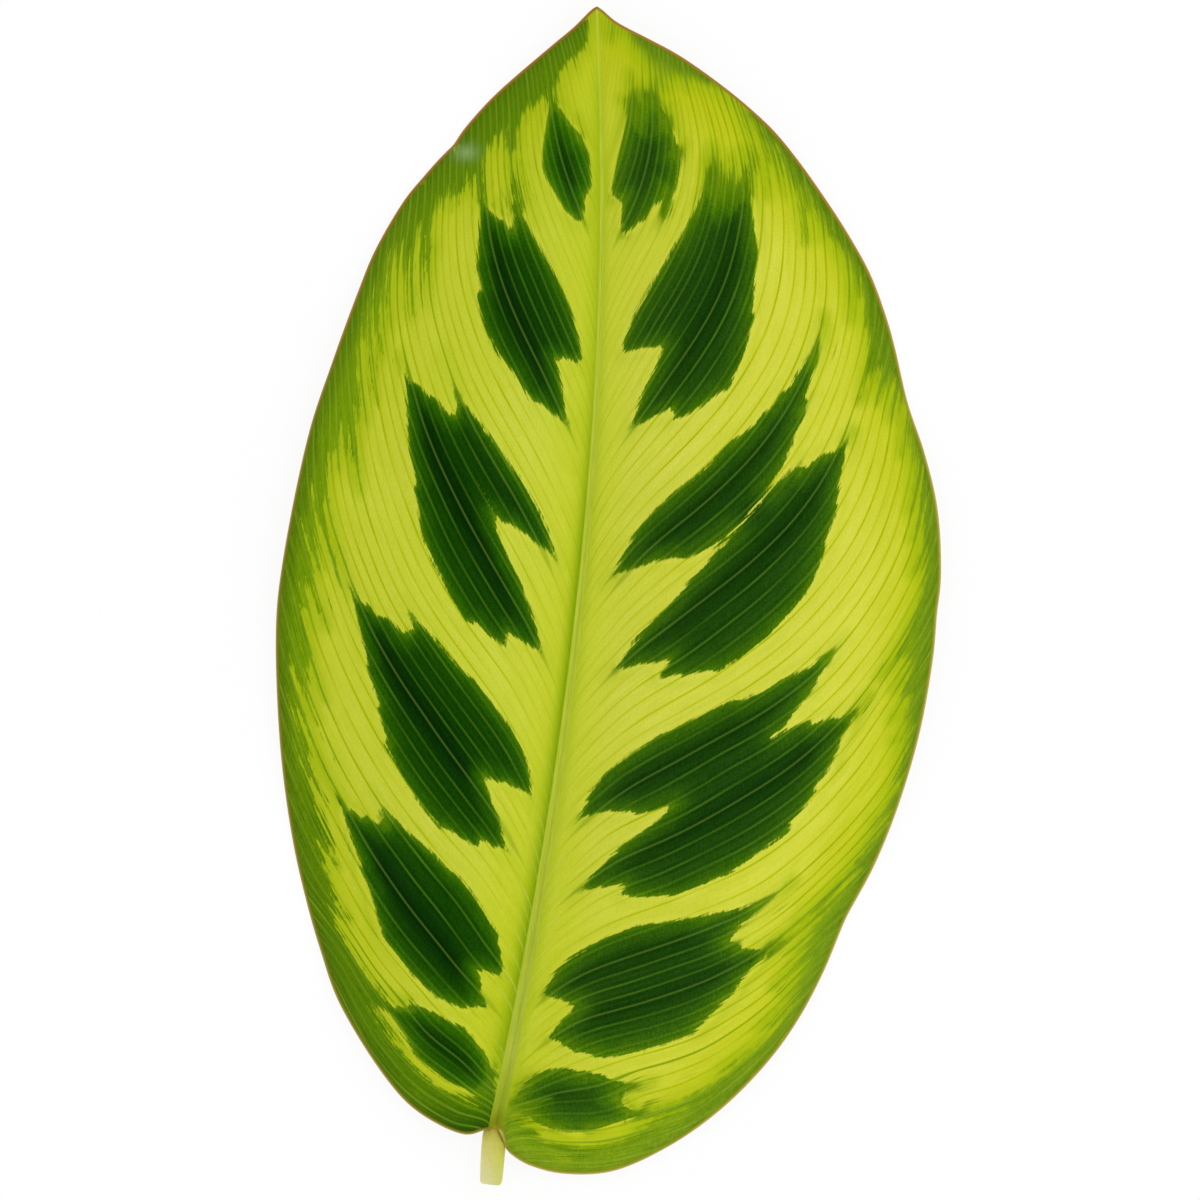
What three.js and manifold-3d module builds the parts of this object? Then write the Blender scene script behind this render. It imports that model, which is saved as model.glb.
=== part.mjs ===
// One cut prayer plant leaf: an oval blade with its midrib, and a short petiole stub.
// It grew as one piece, so it is one closed solid.
// Millimetres. +Y runs from the petiole to the tip, +Z is the upper face of the blade.
import * as THREE from 'three';
import Module from 'manifold-3d';

// ---------------------------------------------------------------- dimensions
const BLADE_THICKNESS = 0.32; // at the middle of each half
const EDGE_THICKNESS = 0.2; // at the margin
const ARCH_RATIO = 0.1; // rise of each half against its width
const PLEAT_HEIGHT = 0.14; // swell of the blade between two strong side veins
const PLEAT_PITCH = 18.9; // spacing of the strong side veins along the midrib
const TIP_LIFT = 2.2; // height of the tip above the surface it rests on
const TIP_LIFT_START = 0.84; // share of the midrib, from the base, that rests flat
const KEEL_FLAT = 0.4; // share of the keel's half width that is its flat foot
const ROWS = 70; // rows of facets from the tip to the junction
const COLUMNS = 12; // facets from the midrib to the margin

// Margin of the left half, tip to junction [x, y].
const LEFT_MARGIN = [
  [-1.26, 65.36], [-1.51, 65.27], [-2.06, 64.83], [-3.83, 63.08], [-6.09, 61.21],
  [-12.68, 55.52], [-15.62, 52.32], [-16.38, 51.33], [-17.16, 50.14], [-17.85, 49.45],
  [-18.84, 48.44], [-20.55, 46.5], [-22.57, 44.03], [-25.92, 38.28], [-27.74, 33.84],
  [-30.69, 25.74], [-33.21, 18.06], [-36.25, 2.92], [-36.85, -3.36], [-36.4, -16.75],
  [-35.04, -27.06], [-33.55, -33.73], [-32.01, -39.11], [-29.7, -45.45], [-22.76, -55.77],
  [-18.72, -58.66], [-15.99, -59.69], [-15.02, -59.65], [-14.43, -59.46], [-14.02, -59.32],
  [-13.11, -58.35], [-12.47, -58.04],
];

// Margin of the right half, tip to junction [x, y].
const RIGHT_MARGIN = [
  [-1.26, 65.36], [-0.73, 65.03], [0.61, 63.87], [1.83, 63.13], [4.52, 61.76],
  [8.03, 59.85], [12.96, 56.36], [16.24, 53.64], [18.48, 51.48], [21.12, 48.25],
  [24.35, 43.68], [26.98, 39.56], [29.1, 35.66], [30.92, 30.75], [31.82, 27.5],
  [33.25, 21.35], [35.08, 15.88], [36.51, 9.65], [36.88, 2.03], [36.44, -2.03],
  [36.05, -6.55], [34.5, -15.28], [31.95, -23.89], [29.44, -30.06], [27.69, -33.35],
  [26.45, -35.61], [23.82, -41.83], [21.11, -46.92], [17.75, -51.61], [12.45, -56.98],
  [6.6, -61.1], [0.28, -63.84], [-5.29, -64.03], [-8.38, -63.27], [-9.75, -62.64],
  [-10.76, -61.92], [-11.23, -61.51], [-11.41, -61.01], [-11.52, -60.68], [-11.75, -59.55],
  [-12.01, -58.7], [-12.47, -58.04],
];

// Midrib, tip to junction [x, y].
const MIDRIB = [
  [-1.26, 65.36], [-1.06, 59.51], [-0.83, 52.85], [-0.71, 43.97], [-0.86, 32.87],
  [-1.32, 21.77], [-2.08, 10.67], [-3.12, -0.43], [-4.42, -11.53], [-5.95, -22.63],
  [-7.72, -33.73], [-9.68, -44.83], [-10.95, -51.49], [-12.47, -58.04],
];

// Where the rows lie [y on the midrib, share of the left margin, share of the right margin].
const STATIONS = [
  [65.36, 0, 0], [61.73, 0.039, 0.0304], [56.18, 0.0933, 0.087], [48.41, 0.1659, 0.1479],
  [36.2, 0.2617, 0.2305], [19.55, 0.3797, 0.3284], [1.79, 0.5042, 0.4312], [-15.97, 0.6248, 0.5291],
  [-29.29, 0.7195, 0.6144], [-39.28, 0.7991, 0.6785], [-45.94, 0.8541, 0.7442], [-50.94, 0.9066, 0.8069],
  [-54.27, 0.944, 0.8783], [-56.27, 0.9704, 0.9314], [-57.26, 0.9827, 0.9658], [-57.76, 0.993, 0.9841],
  [-58.04, 1, 1],
];

// Height of the underside at the margin, against the share of the margin's length.
// It touches the surface at two places on each side and waves up between them.
const LEFT_EDGE_HEIGHT = [
  [0, 2.2], [0.06, 1.2], [0.12, 0.12], [0.138, 0], [0.168, 0], [0.19, 0.12], [0.32, 1.4], [0.48, 2.0],
  [0.62, 1.0], [0.7, 0.12], [0.72, 0], [0.75, 0], [0.77, 0.12], [0.87, 0.9], [0.94, 1.3], [1, 1.6],
];
const RIGHT_EDGE_HEIGHT = [
  [0, 2.2], [0.06, 1.7], [0.17, 0.8], [0.26, 0.12], [0.278, 0], [0.303, 0], [0.32, 0.12], [0.44, 1.6],
  [0.55, 1.4], [0.65, 0.12], [0.668, 0], [0.692, 0], [0.71, 0.12], [0.8, 1.0], [0.88, 0.8], [0.95, 1.2], [1, 1.6],
];

// Keel under the midrib, against the share of the midrib from the base: half width and depth.
const KEEL_HALF_WIDTH = [[0, 1.28], [0.05, 1.12], [0.15, 0.88], [0.4, 0.68], [0.7, 0.46], [0.9, 0.28], [1, 0.18]];
const KEEL_DEPTH = [[0, 1.75], [0.05, 1.6], [0.15, 1.3], [0.4, 0.98], [0.7, 0.66], [0.9, 0.34], [1, 0.12]];

// Petiole stub, cut end to its end inside the keel [x, y, half width, height of its top].
const STUB_PATH = [
  [-13.08, -65.22, 1.02, 1.95], [-13.05, -64.95, 1.2, 2.32], [-12.98, -64.4, 1.26, 2.42],
  [-12.86, -62.6, 1.32, 2.5], [-12.7, -60.6, 1.34, 2.52], [-12.52, -58.9, 1.26, 2.42],
  [-12.24, -57.3, 1.02, 2.2], [-11.92, -55.7, 0.84, 1.92], [-11.6, -54.2, 0.68, 1.6],
];
const STUB_LIFT = 0.05; // the stub hangs just clear of the surface
const STUB_SIDES = 16;

// ---------------------------------------------------------------- tables and curves
function table(pairs) {
  // Smooth monotone curve through [x, y] pairs.
  const n = pairs.length;
  const x = pairs.map((p) => p[0]);
  const y = pairs.map((p) => p[1]);
  const h = [];
  const d = [];
  for (let i = 0; i < n - 1; i++) {
    h.push(x[i + 1] - x[i]);
    d.push((y[i + 1] - y[i]) / h[i]);
  }
  const m = [d[0]];
  for (let i = 1; i < n - 1; i++) {
    if (d[i - 1] * d[i] <= 0) m.push(0);
    else {
      const w1 = 2 * h[i] + h[i - 1];
      const w2 = h[i] + 2 * h[i - 1];
      m.push((w1 + w2) / (w1 / d[i - 1] + w2 / d[i]));
    }
  }
  m.push(d[n - 2]);
  return (v) => {
    if (v <= x[0]) return y[0];
    if (v >= x[n - 1]) return y[n - 1];
    let i = 0;
    while (v > x[i + 1]) i++;
    const t = (v - x[i]) / h[i];
    const t2 = t * t;
    const t3 = t2 * t;
    return (2 * t3 - 3 * t2 + 1) * y[i] + (t3 - 2 * t2 + t) * h[i] * m[i]
      + (-2 * t3 + 3 * t2) * y[i + 1] + (t3 - t2) * h[i] * m[i + 1];
  };
}

function path(points) {
  // Centripetal curve through the points, read by share of its length.
  const curve = new THREE.CatmullRomCurve3(points.map((p) => new THREE.Vector3(p[0], p[1], 0)), false, 'centripetal');
  curve.arcLengthDivisions = 1600;
  return curve;
}

const midrib = path(MIDRIB);

function midribShareAt(y) {
  // Share of the midrib's length, from the tip, at height y on the page.
  let lo = 0;
  let hi = 1;
  for (let i = 0; i < 40; i++) {
    const mid = (lo + hi) / 2;
    if (midrib.getPointAt(mid).y > y) lo = mid;
    else hi = mid;
  }
  return (lo + hi) / 2;
}

const keelHalfWidth = table(KEEL_HALF_WIDTH);
const keelDepth = table(KEEL_DEPTH);

function keelFoot(fromBase) {
  // Height of the keel's foot: flat, then rising to the tip.
  const t = Math.max(0, (fromBase - TIP_LIFT_START) / (1 - TIP_LIFT_START));
  return TIP_LIFT * t * t * (1.5 - 0.5 * t);
}

// ---------------------------------------------------------------- blade
const rowPlace = STATIONS.map((p) => (p[1] + p[2]) / 2);
const rowFoot = table(STATIONS.map((p, i) => [rowPlace[i], p[0]]));
const rowShare = {
  left: table(STATIONS.map((p, i) => [rowPlace[i], p[1]])),
  right: table(STATIONS.map((p, i) => [rowPlace[i], p[2]])),
};
// How far towards the base a side vein has its foot, against its distance from the midrib.
const veinRise = table([[0, 0], [0.55, 0.4], [2.2, 3.6], [4.4, 7], [8.9, 11.6], [17.8, 20], [26.6, 30.5], [36, 45]]);

function half(side, margin, edgeHeight) {
  // One half of the blade as rows of points: top and bottom heights over [x, y].
  const edge = path(margin);
  const share = side < 0 ? rowShare.left : rowShare.right;
  const lift = table(edgeHeight);
  const rows = [];
  for (let j = 0; j <= ROWS; j++) {
    const r = j / ROWS;
    const ends = j === 0 || j === ROWS;
    const ms = j === 0 ? 0 : j === ROWS ? 1 : midribShareAt(rowFoot(r));
    const m = midrib.getPointAt(ms);
    const es = share(r);
    const o = ends ? m : edge.getPointAt(es);
    const fromBase = 1 - ms;
    const width = Math.hypot(o.x - m.x, o.y - m.y);
    const keelWidth = Math.min(keelHalfWidth(fromBase), 0.34 * width);
    const zFoot = keelFoot(fromBase);
    const zMid = zFoot + keelDepth(fromBase) + BLADE_THICKNESS;
    const zEdge = lift(es) + EDGE_THICKNESS;
    const row = [];
    for (let i = 0; i <= COLUMNS; i++) {
      let d = 0;
      if (i === 1) d = KEEL_FLAT * keelWidth;
      else if (i === 2) d = 0.76 * keelWidth;
      else if (i === 3) d = keelWidth;
      else if (i > 3) {
        const a = (i - 3) / (COLUMNS - 3);
        d = keelWidth + (width - keelWidth) * (0.72 * a + 0.28 * Math.sin((a * Math.PI) / 2));
      }
      const w = ends ? 0 : d / width;
      const x = m.x + (o.x - m.x) * w;
      const y = m.y + (o.y - m.y) * w;
      const ease = w * w * (3 - 2 * w);
      const arch = ARCH_RATIO * width * Math.sin(Math.PI * Math.pow(w, 0.86));
      const fade = Math.sin(Math.PI * w) * Math.min(1, width / 14);
      const pleat = PLEAT_HEIGHT * fade * Math.cos((2 * Math.PI * (m.y - veinRise(d) + (side < 0 ? 4 : 2))) / PLEAT_PITCH);
      const top = zMid + (zEdge - zMid) * ease + arch + pleat;
      let bottom = top - BLADE_THICKNESS - (EDGE_THICKNESS - BLADE_THICKNESS) * w * w;
      if (i < 2) bottom = zFoot;
      else if (i === 2) bottom += (zFoot + 0.18 * keelDepth(fromBase) - bottom) * 0.62;
      row.push([x, y, top, bottom]);
    }
    rows.push(row);
  }
  return rows;
}

function bladeGeometry() {
  const left = half(-1, LEFT_MARGIN, LEFT_EDGE_HEIGHT);
  const right = half(1, RIGHT_MARGIN, RIGHT_EDGE_HEIGHT);
  const vertices = [];
  const index = [];
  const key = new Map();
  const vertex = (x, y, z) => {
    const k = `${Math.round(x * 1e4)},${Math.round(y * 1e4)},${Math.round(z * 1e4)}`;
    if (!key.has(k)) {
      key.set(k, vertices.length / 3);
      vertices.push(x, y, z);
    }
    return key.get(k);
  };
  const triangle = (a, b, c) => {
    if (a !== b && b !== c && a !== c) index.push(a, b, c);
  };
  // The two halves share the points of the midrib.
  for (const [side, rows] of [[-1, left], [1, right]]) {
    const top = rows.map((row) => row.map((p) => vertex(p[0], p[1], p[2])));
    const bottom = rows.map((row) => row.map((p) => vertex(p[0], p[1], p[3])));
    for (let j = 0; j < ROWS; j++) {
      for (let i = 0; i < COLUMNS; i++) {
        const quad = (g, flip) => {
          const a = g[j][i];
          const b = g[j][i + 1];
          const c = g[j + 1][i + 1];
          const d = g[j + 1][i];
          if (flip) {
            triangle(a, b, c);
            triangle(a, c, d);
          } else {
            triangle(a, c, b);
            triangle(a, d, c);
          }
        };
        quad(top, side < 0);
        quad(bottom, side > 0);
      }
      // Margin wall.
      const a = top[j][COLUMNS];
      const b = top[j + 1][COLUMNS];
      const c = bottom[j + 1][COLUMNS];
      const d = bottom[j][COLUMNS];
      if (side < 0) {
        triangle(a, d, c);
        triangle(a, c, b);
      } else {
        triangle(a, c, d);
        triangle(a, b, c);
      }
    }
  }
  return { vertices, index };
}

// ---------------------------------------------------------------- petiole stub
function stubGeometry() {
  // Round rings along the stub, closed by a flat cut end.
  const rings = [];
  for (let r = 0; r < STUB_PATH.length; r++) {
    const [x, y, w, h] = STUB_PATH[r];
    const a = STUB_PATH[Math.max(0, r - 1)];
    const b = STUB_PATH[Math.min(STUB_PATH.length - 1, r + 1)];
    const len = Math.hypot(b[0] - a[0], b[1] - a[1]);
    const nx = (b[1] - a[1]) / len;
    const ny = -(b[0] - a[0]) / len;
    const base = r === 0 ? 0.45 : STUB_LIFT;
    const ring = [];
    for (let s = 0; s < STUB_SIDES; s++) {
      const t = ((s + 0.5) / STUB_SIDES) * 2 * Math.PI;
      const c = Math.cos(t) * w;
      ring.push([x + nx * c, y + ny * c, (h + base) / 2 + ((h - base) / 2) * Math.sin(t)]);
    }
    rings.push(ring);
  }
  const vertices = [];
  const index = [];
  for (const ring of rings) for (const p of ring) vertices.push(...p);
  const n = STUB_SIDES;
  for (let r = 0; r < rings.length - 1; r++) {
    for (let s = 0; s < n; s++) {
      const a = r * n + s;
      const b = r * n + ((s + 1) % n);
      index.push(a, b + n, b, a, a + n, b + n);
    }
  }
  for (const [r, flip] of [[0, false], [rings.length - 1, true]]) {
    const centre = vertices.length / 3;
    let cx = 0;
    let cy = 0;
    let cz = 0;
    for (const p of rings[r]) {
      cx += p[0] / n;
      cy += p[1] / n;
      cz += p[2] / n;
    }
    vertices.push(cx, cy, cz);
    for (let s = 0; s < n; s++) {
      const a = r * n + s;
      const b = r * n + ((s + 1) % n);
      if (flip) index.push(centre, b, a);
      else index.push(centre, a, b);
    }
  }
  return { vertices, index };
}

// ---------------------------------------------------------------- one solid
const wasm = await Module();
wasm.setup();

function volume({ vertices: v, index: t }) {
  let sum = 0;
  for (let i = 0; i < t.length; i += 3) {
    const a = t[i] * 3;
    const b = t[i + 1] * 3;
    const c = t[i + 2] * 3;
    sum += v[a] * (v[b + 1] * v[c + 2] - v[b + 2] * v[c + 1])
      + v[a + 1] * (v[b + 2] * v[c] - v[b] * v[c + 2])
      + v[a + 2] * (v[b] * v[c + 1] - v[b + 1] * v[c]);
  }
  return sum / 6;
}

function solid(shape) {
  const t = shape.index.slice();
  if (volume(shape) < 0) for (let i = 0; i < t.length; i += 3) [t[i + 1], t[i + 2]] = [t[i + 2], t[i + 1]];
  return new wasm.Manifold(new wasm.Mesh({
    numProp: 3,
    vertProperties: new Float32Array(shape.vertices),
    triVerts: new Uint32Array(t),
  }));
}

const joined = solid(bladeGeometry()).add(solid(stubGeometry()));
const mesh = joined.getMesh();
const positions = new Float32Array((mesh.vertProperties.length / mesh.numProp) * 3);
for (let i = 0; i < positions.length / 3; i++) {
  for (let k = 0; k < 3; k++) positions[i * 3 + k] = mesh.vertProperties[i * mesh.numProp + k];
}
const geometry = new THREE.BufferGeometry();
geometry.setAttribute('position', new THREE.BufferAttribute(positions, 3));
geometry.setIndex(Array.from(mesh.triVerts));

// The origin is the middle of the leaf's plan, on the surface it rests on.
geometry.computeBoundingBox();
const box = geometry.boundingBox;
geometry.translate(-(box.min.x + box.max.x) / 2, -(box.min.y + box.max.y) / 2, -box.min.z);
geometry.computeVertexNormals();

const leaf = new THREE.Mesh(geometry, new THREE.MeshStandardMaterial({
  color: 0x9fb52c,
  roughness: 0.45,
  metalness: 0,
}));
leaf.name = 'leaf';

const group = new THREE.Group();
group.add(leaf);

export default group;
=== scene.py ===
"""Looks of the cut prayer plant leaf: fine mesh, vein relief and pattern.

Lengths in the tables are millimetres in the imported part's frame, unless a comment says otherwise.
"""
import bpy
import math
import numpy as np
from mathutils.kdtree import KDTree
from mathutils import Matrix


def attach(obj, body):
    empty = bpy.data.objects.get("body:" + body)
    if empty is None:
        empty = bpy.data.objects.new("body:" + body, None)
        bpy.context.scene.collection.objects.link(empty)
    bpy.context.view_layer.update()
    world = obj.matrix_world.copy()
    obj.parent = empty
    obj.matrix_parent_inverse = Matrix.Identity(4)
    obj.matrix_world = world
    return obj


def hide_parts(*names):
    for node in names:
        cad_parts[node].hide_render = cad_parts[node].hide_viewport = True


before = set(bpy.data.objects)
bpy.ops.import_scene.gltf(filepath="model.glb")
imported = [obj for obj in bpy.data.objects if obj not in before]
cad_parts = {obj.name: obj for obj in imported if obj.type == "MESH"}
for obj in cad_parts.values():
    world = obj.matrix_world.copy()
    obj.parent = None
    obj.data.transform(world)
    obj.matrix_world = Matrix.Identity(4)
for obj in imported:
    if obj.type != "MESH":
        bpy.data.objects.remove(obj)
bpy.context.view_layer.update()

MM = 0.001
SHIFT = (-0.0065, -0.0148)  # the CAD recentres its outline by this much

# ------------------------------------------------------------------ shape, as in the CAD, but for the closed joint at the stub
BLADE_THICKNESS = 0.32
EDGE_THICKNESS = 0.2
ARCH_RATIO = 0.1
PLEAT_HEIGHT = 0.14
PLEAT_PITCH = 18.9
TIP_LIFT = 2.2
TIP_LIFT_START = 0.84
KEEL_FLAT = 0.4

LEFT_MARGIN = [
    (-1.26, 65.36), (-1.51, 65.27), (-2.06, 64.83), (-3.83, 63.08), (-6.09, 61.21),
    (-12.68, 55.52), (-15.62, 52.32), (-16.38, 51.33), (-17.16, 50.14), (-17.85, 49.45),
    (-18.84, 48.44), (-20.55, 46.5), (-22.57, 44.03), (-25.92, 38.28), (-27.74, 33.84),
    (-30.69, 25.74), (-33.21, 18.06), (-36.25, 2.92), (-36.85, -3.36), (-36.4, -16.75),
    (-35.04, -27.06), (-33.55, -33.73), (-32.01, -39.11), (-29.7, -45.45), (-22.76, -55.77),
    (-18.72, -58.66), (-15.99, -59.69), (-15.02, -59.65), (-14.43, -59.46), (-14.02, -59.32),
    (-13.3, -59.18), (-12.55, -59.1),
]
RIGHT_MARGIN = [
    (-1.26, 65.36), (-0.73, 65.03), (0.61, 63.87), (1.83, 63.13), (4.52, 61.76),
    (8.03, 59.85), (12.96, 56.36), (16.24, 53.64), (18.48, 51.48), (21.12, 48.25),
    (24.35, 43.68), (26.98, 39.56), (29.1, 35.66), (30.92, 30.75), (31.82, 27.5),
    (33.25, 21.35), (35.08, 15.88), (36.51, 9.65), (36.88, 2.03), (36.44, -2.03),
    (36.05, -6.55), (34.5, -15.28), (31.95, -23.89), (29.44, -30.06), (27.69, -33.35),
    (26.45, -35.61), (23.82, -41.83), (21.11, -46.92), (17.75, -51.61), (12.45, -56.98),
    (6.6, -61.1), (0.28, -63.84), (-5.29, -64.03), (-8.38, -63.27), (-9.75, -62.64),
    (-10.76, -61.92), (-11.23, -61.51), (-11.41, -61.01), (-11.52, -60.68), (-11.68, -59.95),
    (-11.95, -59.35), (-12.55, -59.1),
]
MIDRIB = [
    (-1.26, 65.36), (-1.06, 59.51), (-0.83, 52.85), (-0.71, 43.97), (-0.86, 32.87),
    (-1.32, 21.77), (-2.08, 10.67), (-3.12, -0.43), (-4.42, -11.53), (-5.95, -22.63),
    (-7.72, -33.73), (-9.68, -44.83), (-10.95, -51.49), (-12.55, -59.1),
]
STATIONS = [
    (65.36, 0, 0), (61.73, 0.039, 0.0304), (56.18, 0.0933, 0.087), (48.41, 0.1659, 0.1479),
    (36.2, 0.2617, 0.2305), (19.55, 0.3797, 0.3284), (1.79, 0.5042, 0.4312), (-15.97, 0.6248, 0.5291),
    (-29.29, 0.7195, 0.6144), (-39.28, 0.7991, 0.6785), (-45.94, 0.8541, 0.7442), (-50.94, 0.9066, 0.8069),
    (-54.27, 0.944, 0.8783), (-56.27, 0.9704, 0.9314), (-57.5, 0.9827, 0.9658), (-58.5, 0.993, 0.9841),
    (-59.1, 1, 1),
]
LEFT_EDGE_HEIGHT = [
    (0, 2.2), (0.06, 1.2), (0.12, 0.12), (0.138, 0), (0.168, 0), (0.19, 0.12), (0.32, 1.4), (0.48, 2.0),
    (0.62, 1.0), (0.7, 0.12), (0.72, 0), (0.75, 0), (0.77, 0.12), (0.87, 0.9), (0.94, 1.3), (1, 1.6),
]
RIGHT_EDGE_HEIGHT = [
    (0, 2.2), (0.06, 1.7), (0.17, 0.8), (0.26, 0.12), (0.278, 0), (0.303, 0), (0.32, 0.12), (0.44, 1.6),
    (0.55, 1.4), (0.65, 0.12), (0.668, 0), (0.692, 0), (0.71, 0.12), (0.8, 1.0), (0.88, 0.8), (0.95, 1.2), (1, 1.6),
]
KEEL_HALF_WIDTH = [(0, 1.28), (0.05, 1.12), (0.15, 0.88), (0.4, 0.68), (0.7, 0.46), (0.9, 0.28), (1, 0.18)]
KEEL_DEPTH = [(0, 1.75), (0.05, 1.6), (0.15, 1.3), (0.4, 0.98), (0.7, 0.66), (0.9, 0.34), (1, 0.12)]
VEIN_RISE = [(0, 0), (0.55, 0.4), (2.2, 3.6), (4.4, 7), (8.9, 11.6), (17.8, 20), (26.6, 30.5), (36, 45)]
STUB_PATH = [
    (-13.08, -65.22, 1.02, 1.95), (-13.05, -64.95, 1.2, 2.32), (-12.98, -64.4, 1.26, 2.42),
    (-12.86, -62.6, 1.32, 2.5), (-12.7, -60.6, 1.34, 2.52), (-12.52, -58.9, 1.26, 2.42),
    (-12.24, -57.3, 1.02, 2.2), (-11.92, -55.7, 0.84, 1.92), (-11.6, -54.2, 0.68, 1.6),
]
STUB_LIFT = 0.05

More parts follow.
